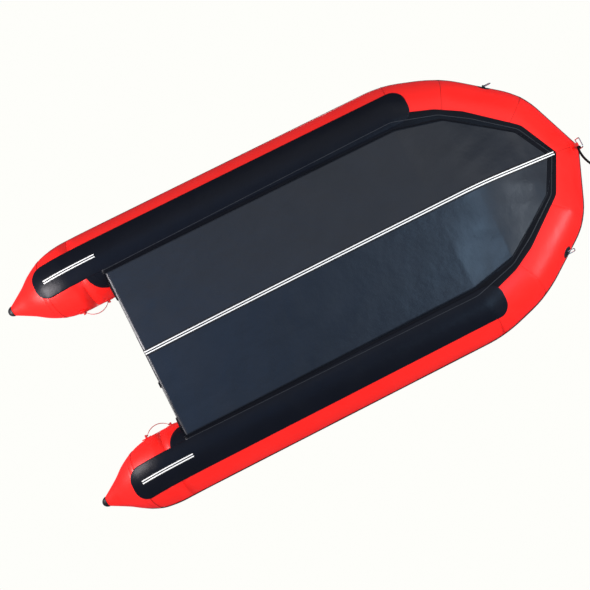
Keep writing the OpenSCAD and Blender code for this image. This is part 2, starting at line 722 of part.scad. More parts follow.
// ---- floor ----
board_half_w = 478;
joint_1_s = 800;
joint_2_s = 1600;
joint_gap = 3;
keel_valve_s = 420;
module keel_valve_place() {
    z = 102 - 22 * (keel_valve_s - 110) / 2270;
    r = 44 + 19 * (keel_valve_s - 170) / 1040;
    translate(at(0, keel_valve_s, z + r)) children();
}
module floor_board(points, hole) {
    color(alloy) difference() {
        translate([0, transom_y, floor_z]) mirror([0, 1, 0]) linear_extrude(floor_t) polygon(points);
        if (hole) translate(at(0, keel_valve_s, 0)) cylinder(h = far, r = 42);
    }
}
module floor_rect(s0, s1, hole = false) {
    floor_board([[-board_half_w, s0], [board_half_w, s0], [board_half_w, s1], [-board_half_w, s1]], hole);
}
module floor_bow() {
    s0 = joint_2_s + joint_gap;
    side = [[board_half_w, s0], [board_half_w, 2100], [430, 2300], [285, 2480], [180, 2570]];
    floor_board(concat(side, [for (i = [4:-1:0]) [-side[i][0], side[i][1]]]), false);
}
module floor_joiners() {
    flange = 40;
    sheet = 2.5;
    half = 464;
    gap = 0.3;
    color(steel) for (s = [joint_1_s, joint_2_s]) {
        for (z = [floor_z - gap - sheet, floor_z + floor_t + gap])
            translate(at(-half, s + flange / 2, z)) cube([2 * half, flange, sheet]);
        translate(at(-half, s + joint_gap - gap, floor_z - gap - 1))
            cube([2 * half, 2 * (joint_gap - gap), floor_t + 2 * gap + 2]);
    }
}
module stringers() {
    gap = 0.2;
    color(steel) for (side = [-1, 1]) on_side(side) difference() {
        translate(at(467, 1560, floor_z - 4)) cube([29, 1480, floor_t + 8]);
        translate(at(400, 1600, floor_z - gap)) cube([board_half_w + 0.5 - 400, 1600, floor_t + 2 * gap]);
        for (s = [joint_1_s]) translate(at(400, s + 22, 100)) cube([65.5, 44, 200]);
    }
}

// ---- valves ----
module valve(on_keel = false) {
    flange_r = on_keel ? 34 : 30;
    color(grey) difference() {
        union() {
            translate([0, 0, -12]) cylinder(h = 16, r = flange_r);
            translate([0, 0, -16]) cylinder(h = 16, r = valve_neck_r);
            cylinder(h = 11, r = 16);
        }
        translate([0, 0, -30]) cylinder(h = 60, r = 9);
    }
}
module valve_cap() {
    lugs = 8;
    color(black) difference() {
        union() {
            translate([0, 0, 4.3]) cylinder(h = 12, r = 22);
            for (k = [0:lugs - 1]) rotate([0, 0, 360 * k / lugs])
                translate([22, 0, 4.3]) cylinder(h = 11, r = 2.5);
        }
        translate([0, 0, 0]) cylinder(h = 11.6, r = 16.3);
    }
}
module side_valve(side) {
    on_side(side) difference() {
        on_side_valve() valve();
        difference() {
            rod(1, 0.1);
            on_side_valve() translate([0, 0, -30]) cylinder(h = 60, r = valve_neck_r);
        }
    }
}
module bow_valve() {
    difference() {
        on_bow_valve() valve();
        difference() {
            rod(3, 0.1);
            on_bow_valve() translate([0, 0, -30]) cylinder(h = 60, r = valve_neck_r);
        }
    }
}
module keel_valve() {
    difference() {
        keel_valve_place() valve(true);
        difference() {
            air_keel_solid(0.3);
            keel_valve_place() translate([0, 0, -30]) cylinder(h = 60, r = valve_neck_r);
        }
    }
}

// ---- seats and sockets ----
rail_s0 = 780;
rail_s1 = 2050;
rail_x = 460;
slot_x = 480;
slot_gap = 0.5;
module seat_rails() {
    wall = 8;
    color(black) for (side = [-1, 1]) on_side(side) difference() {
        union() {
            translate(at(rail_x, rail_s1, bench_z - wall)) cube([70, rail_s1 - rail_s0, bench_t + 2 * wall]);
            intersection() {
                rod(1, 2.2);
                translate(at(380, rail_s1, bench_z - 34)) cube([220, rail_s1 - rail_s0, bench_t + 68]);
            }
        }
        rod(1, eps);
        translate(at(rail_x - 10, rail_s1 + 10, bench_z - slot_gap))
            cube([slot_x - rail_x + 10, rail_s1 - rail_s0 + 20, bench_t + 2 * slot_gap]);
    }
}
module bench(s) {
    half = slot_x - slot_gap;
    color(alloy) translate(at(-half, s, bench_z + bench_t / 2)) rotate([90, 0, 90])
        linear_extrude(2 * half)
        rounded_plate(-bench_w / 2, bench_w / 2, -bench_t / 2, bench_t / 2, 6);
}
module oar_socket(side) {
    post = 45;
    color(black) on_side(side) difference() {
        union() {
            intersection() {
                rod(1, 2.5);
                translate(at(spacing(socket_s), socket_s, axis_z)) cylinder(h = far, r = 62);
            }
            translate(at(spacing(socket_s), socket_s, axis_z + tube_r - 8)) {
                cylinder(h = 22, r1 = 40, r2 = 24);
                cylinder(h = post + 8, r = 18);
            }
        }
        rod(1, eps);
        translate(at(spacing(socket_s), socket_s, axis_z + tube_r + 4)) cylinder(h = far, r = socket_bore_r);
    }
}

side_tube(1);  // port_tube
side_tube(-1);  // starboard_tube
bow_tube();
cone(1);  // port_cone
cone(-1);  // starboard_cone
cone_cap(1);  // port_cone_cap
cone_cap(-1);  // starboard_cone_cap
baffles();
doubler(1);  // port_doubler
doubler(-1);  // starboard_doubler
tube_guard(1);  // port_tube_guard
tube_guard(-1);  // starboard_tube_guard
bottom_panel(1);  // port_bottom_panel
bottom_panel(-1);  // starboard_bottom_panel
keel_guard();
seam_tape(1);  // port_seam_tape
seam_tape(-1);  // starboard_seam_tape
stern_hem();
transom_patch(1);  // port_transom_patch
transom_patch(-1);  // starboard_transom_patch
rub_rail();
handle(1);  // port_handle
handle(-1);  // starboard_handle
handle_anchors();
bow_ring_patch();
bow_ring();
ring_patch(1);  // port_ring_patch
side_ring(1);  // port_ring
ring_patch(-1);  // starboard_ring_patch
side_ring(-1);  // starboard_ring
painter_eye();
painter_rope();
painter_coil();
drain_valve();
drain_plug();
transom_board();
inner_motor_pad();
outer_motor_pad();
motor_pad_bolts();
transom_holder(1);  // port_transom_holder
transom_holder(-1);  // starboard_transom_holder
air_keel();
floor_rect(45, joint_1_s - joint_gap, true);  // floor_aft
floor_rect(joint_1_s + joint_gap, joint_2_s - joint_gap);  // floor_middle
floor_bow();
floor_joiners();
stringers();
side_valve(1);  // port_valve
on_side(1) on_side_valve() valve_cap();  // port_valve_cap
side_valve(-1);  // starboard_valve
on_side(-1) on_side_valve() valve_cap();  // starboard_valve_cap
bow_valve();
on_bow_valve() valve_cap();  // bow_valve_cap
keel_valve();
keel_valve_place() valve_cap();  // keel_valve_cap
seat_rails();
bench(1080);  // aft_bench
bench(1720);  // forward_bench
oar_socket(1);  // port_oar_socket
oar_socket(-1);  // starboard_oar_socket
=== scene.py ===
"""Visual model of the inflatable dinghy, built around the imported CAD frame.

Everything is in metres in the CAD frame: X to port, -Y to the bow, Z up. Lengths named s run
forward from the transom's aft face. The port half of the tubes is a path of five straight lengths
cut at mitre planes, and the starboard half is its mirror image.
"""

import math

import bpy
import numpy as np
from mathutils import Matrix, Vector


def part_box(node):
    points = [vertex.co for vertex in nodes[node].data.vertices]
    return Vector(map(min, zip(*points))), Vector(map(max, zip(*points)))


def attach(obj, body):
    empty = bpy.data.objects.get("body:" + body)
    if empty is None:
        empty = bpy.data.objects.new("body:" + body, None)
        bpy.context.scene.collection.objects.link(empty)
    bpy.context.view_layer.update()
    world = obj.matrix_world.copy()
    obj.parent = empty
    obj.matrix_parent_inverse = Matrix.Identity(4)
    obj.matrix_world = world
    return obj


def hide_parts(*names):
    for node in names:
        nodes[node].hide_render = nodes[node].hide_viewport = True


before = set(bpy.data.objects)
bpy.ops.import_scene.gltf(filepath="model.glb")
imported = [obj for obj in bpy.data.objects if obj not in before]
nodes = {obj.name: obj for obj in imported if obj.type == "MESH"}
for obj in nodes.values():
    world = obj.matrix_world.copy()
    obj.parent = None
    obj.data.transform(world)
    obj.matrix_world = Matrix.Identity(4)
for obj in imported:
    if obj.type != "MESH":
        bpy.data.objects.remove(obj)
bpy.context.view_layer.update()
MM = 0.001

# ---------------------------------------------------------------- the CAD's own lines
TUBE_R = 0.235
AXIS_Z = 0.325
TRANSOM_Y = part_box("transom_board")[1].y
SIDE_LEN, STERN_LEN, KNEE_S = 2.102, 0.692, -0.132
SPACING_FWD, SPACING_TIP = 0.677, 0.700
CHINE_IN = 0.096
GUARD_T, LAYER = 0.005, 0.0003


def unit(v):
    v = np.asarray(v, float)
    return v / np.linalg.norm(v)


def at(x, s, z):
    return np.array([x, TRANSOM_Y - s, z])


def spacing(s):
    return SPACING_FWD + (SPACING_TIP - SPACING_FWD) * (SIDE_LEN - s) / (SIDE_LEN + STERN_LEN)


PATH = [
    at(SPACING_TIP, -STERN_LEN, AXIS_Z + 0.163),
    at(spacing(KNEE_S), KNEE_S, AXIS_Z),
    at(SPACING_FWD, SIDE_LEN, AXIS_Z),
    at(0.585, 2.388, AXIS_Z + 0.045),
    at(0.318, 2.744, AXIS_Z + 0.120),
    at(0.0, 2.869, AXIS_Z + 0.165),
]
LENGTHS = range(5)
DIRS = [unit(PATH[i + 1] - PATH[i]) for i in LENGTHS]
OUTS = [unit([-d[1], d[0], 0]) for d in DIRS]
DOWNS = [np.cross(OUTS[i], DIRS[i]) for i in LENGTHS]
CUTS = [None] + [unit(DIRS[i - 1] + DIRS[i]) for i in range(1, 5)] + [np.array([-1.0, 0, 0])]
RUNS = [np.linalg.norm(PATH[i + 1] - PATH[i]) for i in LENGTHS]

# The stern cone: distance from the tip along the rising axis, and radius
CONE = np.array([[40, 34], [105, 70], [169, 107], [237, 153], [304, 188], [355, 210], [440, 228],
                 [542, 235], [620, 235]]) * MM
CONE_START, CONE_SEAM = 0.040, 0.355


def hermite(x, xs, ys):
    """Smooth curve through points, with slopes from their neighbours."""
    x = np.clip(x, xs[0], xs[-1])
    slope = np.gradient(ys, xs)
    slope[-2:] = 0
    k = np.clip(np.searchsorted(xs, x, side="right") - 1, 0, len(xs) - 2)
    h = xs[k + 1] - xs[k]
    t = (x - xs[k]) / h
    return ((2 * t**3 - 3 * t**2 + 1) * ys[k] + (t**3 - 2 * t**2 + t) * h * slope[k]
            + (-2 * t**3 + 3 * t**2) * ys[k + 1] + (t**3 - t**2) * h * slope[k + 1])


def radius(i, t):
    return hermite(t, CONE[:, 0], CONE[:, 1]) if i == 0 else np.full_like(t, TUBE_R)


def ring_dir(i, phi):
    """Direction from the axis: phi is 0 underneath, 90 degrees outboard, 180 on top."""
    return np.cos(phi)[..., None] * DOWNS[i] + np.sin(phi)[..., None] * OUTS[i]


def mitre_t(i, end, phi, r=TUBE_R):
    """Where the line at phi along length i meets the mitre plane at that end."""
    k = i + end
    reach = ring_dir(i, phi) * r
    return ((PATH[k] - PATH[i] - reach) @ CUTS[k]) / (DIRS[i] @ CUTS[k])


def tube_point(i, t, phi, lift=0.0):
    return PATH[i] + t[..., None] * DIRS[i] + (radius(i, t) + lift)[..., None] * ring_dir(i, phi)


# How far from each bend the tube is rounded: the stern knee all round, the bow's mitres outboard
BENDS = {1: 0.16, 2: 0.13, 3: 0.15, 4: 0.14}


def bend_shift(k, points):
    """Shift that rounds the bend at path point k, as a curve that cuts its corner."""
    gap = np.abs((points - PATH[k]) @ CUTS[k])
    share = np.clip(1 - gap / BENDS[k], 0, 1)
    return (0.25 * BENDS[k] * share**2)[..., None] * (DIRS[k] - DIRS[k - 1])


def eased(i, points, phi):
    for k in (i, i + 1):
        if k in BENDS:
            side = np.clip((np.sin(phi) - 0.62) / 0.33, 0, 1)
            weight = 1.0 if k == 1 else (side * side * (3 - 2 * side))[..., None]
            points = points + weight * bend_shift(k, points)
    return points


def under(x, y, lift=0.0):
    """Height of the tubes' underside above points of the plan, on the port side."""
    x, y, lift = np.broadcast_arrays(np.asarray(x, float), y, lift)
    best_z, best_margin = np.zeros(x.shape), np.full(x.shape, -9.0)
    for i in LENGTHS:
        p, d = PATH[i], DIRS[i]
        wx, wy = x - p[0], y - p[1]
        along = wx * d[0] + wy * d[1]
        a = 1 - d[2] ** 2
        r = np.full(x.shape, TUBE_R)
        for _ in range(1 if i else 12):
            b = -2 * along * d[2]
            c = wx**2 + wy**2 - along**2 - (r + lift) ** 2
            wz = (-b - np.sqrt(np.maximum(b**2 - 4 * a * c, 0))) / (2 * a)
            if i == 0:
                r = radius(0, along + wz * d[2])
        q = np.stack([x, y, p[2] + wz], -1)
        margin = -((q - PATH[i + 1]) @ CUTS[i + 1])
        if i:
            margin = np.minimum(margin, (q - p) @ CUTS[i])
        hit = margin > best_margin
        best_margin = np.where(hit, margin, best_margin)
        best_z = np.where(hit, q[..., 2], best_z)
    return best_z + bend_shift(1, np.stack([x, y, best_z], -1))[..., 2]


CHINE_S = np.array([0, 2.091, 2.398, 2.785, 2.967])
CHINE_X = np.array([spacing(0) - CHINE_IN, spacing(2.091) - CHINE_IN, 0.507, 0.231, 0.0])
KEEL_END = CHINE_S[-1]


def chine_half(s):
    return np.interp(s, CHINE_S, CHINE_X)


def keel_z(s):
    k = 0.5 / (2 * (2.600 - 2.276))
    return np.select(
        [s < 1.5, s < 2.276, s < 2.6],
        [0.050 * (1 - s / 1.5) ** 2, 0 * s, k * (s - 2.276) ** 2],
        k * (2.600 - 2.276) ** 2 + 0.5 * (s - 2.6))


def panel_z(x, s):
    h = chine_half(s)
    z0 = keel_z(s) + GUARD_T + LAYER
    z1 = under(h, TRANSOM_Y - s) - 0.0072
    return z0 + (z1 - z0) * np.where(h > 1e-6, np.abs(x) / np.maximum(h, 1e-6), 0)


# ---------------------------------------------------------------- meshes
def make(name, verts, faces, uvs=None, groove_shade=None, sharp=None):
    mesh = bpy.data.meshes.new(name)
    mesh.from_pydata([tuple(v) for v in verts], [], faces)
    if uvs is not None:
        layer = mesh.uv_layers.new(name="UVMap")
        for loop in mesh.loops:
            layer.data[loop.index].uv = uvs[loop.vertex_index]
    if groove_shade is not None:
        attr = mesh.attributes.new("groove_shade", "FLOAT", "POINT")
        attr.data.foreach_set("value", np.asarray(groove_shade, np.float32))
    mesh.polygons.foreach_set("use_smooth", [True] * len(mesh.polygons))
    if sharp:
        mesh.set_sharp_from_angle(angle=math.radians(sharp))
    mesh.update()
    obj = bpy.data.objects.new(name, mesh)
    bpy.context.scene.collection.objects.link(obj)
    return obj


def grid_faces(n, m, closed, base=0):
    cols = m if closed else m - 1
    return [(base + a * m + b, base + a * m + (b + 1) % m,
             base + (a + 1) * m + (b + 1) % m, base + (a + 1) * m + b)
            for a in range(n - 1) for b in range(cols)]


def grid(parts, closed=False):
    """Verts, faces, uvs and painted seam shade values of several grids; each is (points, shade or None)."""
    verts, faces, uvs, groove_shades = [], [], [], []
    for points, groove_shade in parts:
        n, m = points.shape[:2]
        faces += grid_faces(n, m, closed, len(verts))
        du = np.linalg.norm(np.diff(points, axis=0), axis=2).mean(1)
        dv = np.linalg.norm(np.diff(points, axis=1), axis=2).mean(0)
        u, v = np.r_[0, np.cumsum(du)], np.r_[0, np.cumsum(dv)]
        verts += list(points.reshape(-1, 3))
        uvs += [(a, b) for a in u for b in v]
        groove_shades += list((np.zeros((n, m)) if groove_shade is None else groove_shade).ravel())
    return verts, faces, uvs, groove_shades


def sheet_object(name, parts, closed=False, thickness=0.0, sharp=None, mirror=False):
    if mirror:
        parts = [(np.flip(p * [-1, 1, 1], 1), None if s is None else np.flip(s, 1)) for p, s in parts]
    verts, faces, uvs, groove_shades = grid(parts, closed)
    obj = make(name, verts, faces, uvs, groove_shades, sharp)
    if thickness:
        solid = obj.modifiers.new("thickness", "SOLIDIFY")
        solid.thickness = thickness
        solid.offset = -1
    return obj


def outward(parts):
    """Grids turned so that their faces look down or outwards."""
    return [(np.flip(p, 1), None if s is None else np.flip(s, 1)) for p, s in parts]


def tube_mesh(points, r, sides=12, closed=False):
    """A round tube along points, with its uvs: u along the line in metres, v round it."""
    pts = np.asarray(points, float)
    n = len(pts)
    if closed:
        tangent = np.roll(pts, -1, 0) - np.roll(pts, 1, 0)
    else:
        tangent = np.gradient(pts, axis=0)
    tangent /= np.linalg.norm(tangent, axis=1)[:, None]
    r = np.broadcast_to(r, n)
    side = np.cross(tangent[0], [0.3, 1, 0.2])
    rows = []
    for k in range(n):
        side = unit(side - (side @ tangent[k]) * tangent[k])
        other = np.cross(tangent[k], side)
        a = 2 * np.pi * np.arange(sides) / sides
        rows.append(pts[k] + r[k] * (np.cos(a)[:, None] * side + np.sin(a)[:, None] * other))
    run = np.r_[0, np.cumsum(np.linalg.norm(np.diff(pts, axis=0), axis=1))]
    verts = np.concatenate(rows)
    faces = grid_faces(n, sides, True)
    if closed:
        last = (n - 1) * sides
        faces += [(last + b, last + (b + 1) % sides, (b + 1) % sides, b) for b in range(sides)]
    else:
        faces += [tuple(range(sides - 1, -1, -1)), tuple((n - 1) * sides + b for b in range(sides))]
    uvs = [(run[k], b / sides) for k in range(n) for b in range(sides)]
    return verts, faces, uvs


def joined(name, pieces, sharp=None):
    verts, faces, uvs = [], [], []
    for v, f, uv in pieces:
        base = len(verts)
        verts += list(v)
        faces += [tuple(base + k for k in face) for face in f]
        uvs += list(uv)
    return make(name, verts, faces, uvs, None, sharp)


# ---------------------------------------------------------------- materials
def tree(name):
    mat = bpy.data.materials.new(name)
    mat.use_nodes = True
    nt = mat.node_tree
    shader = nt.nodes["Principled BSDF"]
    return mat, nt, shader


def node(nt, kind, inputs=None, **props):
    n = nt.nodes.new(kind)
    for key, value in props.items():
        setattr(n, key, value)
    for key, value in (inputs or {}).items():
        if isinstance(value, bpy.types.NodeSocket):
            nt.links.new(value, n.inputs[key])
        else:
            n.inputs[key].default_value = value
    return n


def surface(name, color, rough=(0.4, 0.5), metallic=0.0, specular=0.5, coat=0.0, coat_rough=0.2,
            vary=0.08, vary_scale=5.0, grain=900.0, grain_depth=0.03, lumps=60.0, lump_depth=0.06,
            weave=0.0, weave_depth=0.12, groove_shade=0.0, sheen=0.0, smear=3.0, stretch=(1, 1, 1)):
    """Coated fabric, plastic, rubber, paint or metal, from its colour, grain, weave and smears."""
    mat, nt, shader = tree(name)
    coords = node(nt, "ShaderNodeTexCoord")
    space = node(nt, "ShaderNodeMapping", {"Vector": coords.outputs["Object"], "Scale": stretch})
    place = space.outputs["Vector"]
    tone = node(nt, "ShaderNodeTexNoise", {"Vector": place, "Scale": vary_scale, "Detail": 5.0})
    low = [c * (1 - vary) for c in color] + [1]
    high = [min(1, c * (1 + vary)) for c in color] + [1]
    tones = node(nt, "ShaderNodeMixRGB", {"Fac": tone.outputs["Fac"], "Color1": low, "Color2": high})
    out = tones.outputs["Color"]
    # Painted shade: the attribute darkens the colour to 12 percent along the pinched seam grooves.
    if groove_shade:
        attr = node(nt, "ShaderNodeAttribute", attribute_name="groove_shade")
        share = node(nt, "ShaderNodeMath", {0: attr.outputs["Fac"], 1: groove_shade}, operation="MULTIPLY")
        painted_shade = [c * 0.12 for c in color] + [1]
        mix = node(nt, "ShaderNodeMixRGB", {"Fac": share.outputs[0], "Color1": out, "Color2": painted_shade})
        out = mix.outputs["Color"]
    nt.links.new(out, shader.inputs["Base Color"])
    wipe = node(nt, "ShaderNodeTexNoise", {"Vector": place, "Scale": smear, "Detail": 6.0,
                                           "Distortion": 1.6})
    gloss = node(nt, "ShaderNodeMapRange", {"Value": wipe.outputs["Fac"], "From Min": 0.3,
                                            "From Max": 0.7, "To Min": rough[0], "To Max": rough[1]})
    nt.links.new(gloss.outputs["Result"], shader.inputs["Roughness"])
    normal = None
    for scale, depth in ((lumps, lump_depth), (grain, grain_depth)):
        if depth:
            noise = node(nt, "ShaderNodeTexNoise", {"Vector": place, "Scale": scale, "Detail": 3.0})
            bump = node(nt, "ShaderNodeBump", {"Height": noise.outputs["Fac"], "Strength": depth,
                                               "Distance": 0.5 / scale})
            if normal is not None:
                nt.links.new(normal, bump.inputs["Normal"])
            normal = bump.outputs["Normal"]
    if weave:
        for axis in ("X", "Y"):
            wave = node(nt, "ShaderNodeTexWave", {"Vector": coords.outputs["UV"], "Scale": weave},
                        wave_type="BANDS", bands_direction=axis)
            bump = node(nt, "ShaderNodeBump", {"Height": wave.outputs["Fac"], "Normal": normal,
                                               "Strength": weave_depth, "Distance": 0.1 / weave})
            normal = bump.outputs["Normal"]
    if normal is not None:
        nt.links.new(normal, shader.inputs["Normal"])
    shader.inputs["Metallic"].default_value = metallic
    shader.inputs["Specular IOR Level"].default_value = specular
    shader.inputs["Coat Weight"].default_value = coat
    shader.inputs["Coat Roughness"].default_value = coat_rough
    shader.inputs["Sheen Weight"].default_value = sheen
    return mat


def rope_material(name, color):
    """Braided rope: two crossing families of strands wound round the line."""
    mat, nt, shader = tree(name)
    coords = node(nt, "ShaderNodeTexCoord")
    split = node(nt, "ShaderNodeSeparateXYZ", {"Vector": coords.outputs["UV"]})
    waves = []
    for turn in (1.0, -1.0):
        along = node(nt, "ShaderNodeMath", {0: split.outputs["X"], 1: 90.0}, operation="MULTIPLY")
        round_ = node(nt, "ShaderNodeMath", {0: split.outputs["Y"], 1: 6.0 * turn},
                      operation="MULTIPLY")
        total = node(nt, "ShaderNodeMath", {0: along.outputs[0], 1: round_.outputs[0]}, operation="ADD")
        angle = node(nt, "ShaderNodeMath", {0: total.outputs[0], 1: 2 * math.pi}, operation="MULTIPLY")
        waves.append(node(nt, "ShaderNodeMath", {0: angle.outputs[0]}, operation="SINE").outputs[0])
    high = node(nt, "ShaderNodeMath", {0: waves[0], 1: waves[1]}, operation="MAXIMUM")
    height = node(nt, "ShaderNodeMapRange", {"Value": high.outputs[0], "From Min": -0.5, "From Max": 1})
    # The colour darkens to 45 percent in the valleys between the strands: painted shade.
    low = [c * 0.45 for c in color] + [1]
    mix = node(nt, "ShaderNodeMixRGB", {"Fac": height.outputs["Result"], "Color1": low,
                                        "Color2": list(color) + [1]})
    bump = node(nt, "ShaderNodeBump", {"Height": height.outputs["Result"], "Strength": 0.8,
                                       "Distance": 0.0012})
    nt.links.new(mix.outputs["Color"], shader.inputs["Base Color"])
    nt.links.new(bump.outputs["Normal"], shader.inputs["Normal"])
    shader.inputs["Roughness"].default_value = 0.8
    shader.inputs["Specular IOR Level"].default_value = 0.2
    return mat


RED = (0.86, 0.007, 0.004)
# red_fabric and cone_fabric get painted shade along the seam grooves.
red_fabric = surface("red_fabric", RED, (0.34, 0.46), vary=0.05, groove_shade=0.8, weave=800.0,
                     weave_depth=0.05, lumps=25, lump_depth=0.05, specular=0.35)
cone_fabric = surface("cone_fabric", RED, (0.3, 0.4), vary=0.05, groove_shade=0.8, weave=800.0,
                      weave_depth=0.05, lumps=25, lump_depth=0.04, coat=0.15)
black_fabric = surface("black_fabric", (0.004, 0.005, 0.009), (0.30, 0.42), vary=0.2, weave=800.0,
                       weave_depth=0.06, lumps=22, lump_depth=0.07, specular=0.2)
tape_fabric = surface("tape_fabric", (0.004, 0.0045, 0.007), (0.34, 0.46), vary=0.2, weave=800.0,
                      weave_depth=0.05, specular=0.12)
hull_fabric = surface("hull_fabric", (0.006, 0.009, 0.015), (0.34, 0.46), vary=0.25, weave=700.0,
                      weave_depth=0.05, lumps=14, lump_depth=0.08, smear=2.2, specular=0.8)
white_rubber = surface("white_rubber", (0.80, 0.80, 0.78), (0.4, 0.55), vary=0.04, lumps=200,
                       lump_depth=0.05)
# Lighter than the tape's black: painted highlight along the welt's ridge.
welt_highlight_rubber = surface("welt_highlight_rubber", (0.020, 0.022, 0.027), (0.35, 0.5), vary=0.06)
black_rubber = surface("black_rubber", (0.010, 0.010, 0.012), (0.45, 0.6), vary=0.2, lumps=120)
red_webbing = surface("red_webbing", (0.62, 0.012, 0.010), (0.55, 0.7), weave=420.0,
                      weave_depth=0.9, vary=0.12, sheen=0.25)
red_rubber = surface("red_rubber", (0.55, 0.010, 0.008), (0.4, 0.5), vary=0.08, lumps=90)
steel = surface("stainless", (0.62, 0.63, 0.65), (0.14, 0.26), metallic=1.0, vary=0.04, lumps=0.1,
                lump_depth=0, grain=1200, grain_depth=0.03, stretch=(1, 1, 6))
paint_grey = surface("painted_ply", (0.20, 0.215, 0.235), (0.38, 0.5), vary=0.06, lumps=90,
                     lump_depth=0.12, stretch=(1, 1, 5), coat=0.2)
pad_plastic = surface("pad_plastic", (0.018, 0.018, 0.020), (0.45, 0.6), grain=700, grain_depth=0.18)
grey_plastic = surface("grey_plastic", (0.22, 0.23, 0.25), (0.35, 0.48), grain=900, grain_depth=0.08)
black_plastic = surface("black_plastic", (0.014, 0.014, 0.016), (0.32, 0.45), grain=900,
                        grain_depth=0.1)
floor_metal = surface("floor_alloy", (0.56, 0.57, 0.58), (0.3, 0.46), metallic=1.0, vary=0.05,
                      grain=260, grain_depth=0.12, stretch=(1, 14, 1), smear=6)
joiner_metal = surface("joiner_alloy", (0.50, 0.51, 0.53), (0.26, 0.4), metallic=1.0, vary=0.05,
                       grain=300, grain_depth=0.1, stretch=(14, 1, 1), smear=6)
rope_black = rope_material("rope_black", (0.008, 0.008, 0.009))


def piece(obj, mat, slot, *replaced, body="hull"):
    obj.data.materials.append(mat)
    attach(obj, body)
    if replaced:
        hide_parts(*replaced)
    return obj


# ---------------------------------------------------------------- camera
TILT = math.radians(8)
AFT_TO_BOW = np.array([0, -1.0, 0])
ACROSS = np.array([math.cos(TILT), 0, math.sin(TILT)])
RIGHT = 0.8936 * AFT_TO_BOW + 0.449 * ACROSS
UP = 0.449 * AFT_TO_BOW - 0.8936 * ACROSS
BACK = np.cross(RIGHT, UP)
TARGET = np.array([0.061, TRANSOM_Y - 1.035, 0.325])
DISTANCE, SENSOR, FIELD = 40.0, 36.0, 3.835
cam = bpy.data.cameras.new("camera")
cam.sensor_width = SENSOR
cam.lens = SENSOR * DISTANCE / FIELD
cam.clip_start, cam.clip_end = 1.0, 200.0
camera = bpy.data.objects.new("camera", cam)
camera.matrix_world = Matrix([[RIGHT[k], UP[k], BACK[k], (TARGET + DISTANCE * BACK)[k]]
                              for k in range(3)] + [[0, 0, 0, 1]])
bpy.context.scene.collection.objects.link(camera)
bpy.context.scene.camera = camera

# ---------------------------------------------------------------- painter rope
BOW_S = 2.869
ROPE_R = 0.008
ROPE_LINE = [
    [24, 244, 373], [32, 241, 343], [43, 238, 313], [57, 236, 284], [74, 235, 256], [94, 235, 229],
    [117, 237, 204], [142, 242, 180], [168, 250, 157], [194, 260, 135], [221, 271, 113],
    [248, 282, 91], [275, 292, 70], [303, 301, 51], [332, 308, 35], [362, 313, 22], [394, 316, 13],
    [427, 317, 9], [460, 317, 8],
]
COIL_MID = 0.088
rope_points = [at(x * MM, BOW_S + f * MM, z * MM) for x, f, z in ROPE_LINE]
coil_centre = rope_points[-1] - [0, COIL_MID + 3 * ROPE_R + LAYER, 0]


def ease(x):
    x = min(1.0, max(0.0, x))
    return x * x * (3 - 2 * x)


def coil_point(turned):
    """The rope wound down into the coil: outer and inner turn below, inner and outer turn above."""
    r = 0.1123 - 0.0163 * ease(turned / 70)
    r -= 0.016 * ease((turned - 360) / 70)
    z = ROPE_R + 0.016 * ease((turned - 650) / 70)
    r += 0.016 * ease((turned - 950) / 70)
    a = math.radians(90 - turned)
    return coil_centre + [r * math.cos(a), r * math.sin(a), z - coil_centre[2]]


COIL_TURNED = 1310
coil_points = [coil_point(a) for a in np.arange(6, COIL_TURNED + 1, 6)]
rope_path = [np.array(p) for p in rope_points] + coil_points
rope = joined("painter_rope_line", [tube_mesh(rope_path, ROPE_R, 14)])
piece(rope, rope_black, "rope_black", "painter_rope", "painter_coil")

RING_DOWN, BOW_SURFACE, BOW_LIFT = math.radians(20), 0.2458, 0.020
bow_hinge = BOW_SURFACE + BOW_LIFT
ring_bar = PATH[5] + [0, -bow_hinge * math.cos(RING_DOWN), -bow_hinge * math.sin(RING_DOWN)]
knot = ring_bar + [0.022, 0, 0]
knot_dir = unit(rope_points[0] - knot)
turns = []
for shift in (-0.0034, 0.0034):
    a = np.linspace(0, 2 * np.pi, 36, endpoint=False)
    loop = np.stack([np.full_like(a, shift) + 0.0006 * np.sin(a), 0.0105 * np.cos(a),
                     0.0105 * np.sin(a)], 1)
    turns.append(tube_mesh(knot + loop, 0.0044, 10, closed=True))
neck = [knot + knot_dir * d for d in np.linspace(0.010, np.linalg.norm(rope_points[0] - knot), 6)]
turns.append(tube_mesh(neck, [0.0062, 0.007, 0.0078, 0.008, 0.008, 0.008], 14))
for k in range(3):
    a = np.linspace(0, 2 * np.pi, 28, endpoint=False)
    u = unit(np.cross(knot_dir, [0, 1, 0]))
    w = np.cross(knot_dir, u)
    centre = knot + knot_dir * (0.0155 + 0.0068 * k)
    loop = centre + 0.0052 * (np.cos(a)[:, None] * u + np.sin(a)[:, None] * w) \
        + 0.0018 * np.sin(a)[:, None] * knot_dir
    turns.append(tube_mesh(loop, 0.0030, 8, closed=True))
knot_piece = piece(joined("painter_knot", turns), rope_black, "rope_black", "painter_eye")

end, before = rope_path[-1], rope_path[-2]
end_dir = unit(end - before)
whip = []
for k in range(8):
    a = np.linspace(0, 2 * np.pi, 24, endpoint=False)
    u = unit(np.cross(end_dir, [0, 0, 1]))
    w = np.cross(end_dir, u)
    loop = end - end_dir * (0.004 + 0.0024 * k) + 0.0078 * (np.cos(a)[:, None] * u
                                                         + np.sin(a)[:, None] * w)
    whip.append(tube_mesh(loop, 0.0011, 6, closed=True))
whipping = piece(joined("painter_whipping", whip), black_rubber, "rope_black")

# ---------------------------------------------------------------- tubes
PHI = np.linspace(-np.pi, np.pi, 97)[:-1]


def seam_groove_shade(gap):
    """How strong the painted shade in a seam's pinched groove is at a distance from it."""
    return np.exp(-(gap / 0.0022) ** 2)


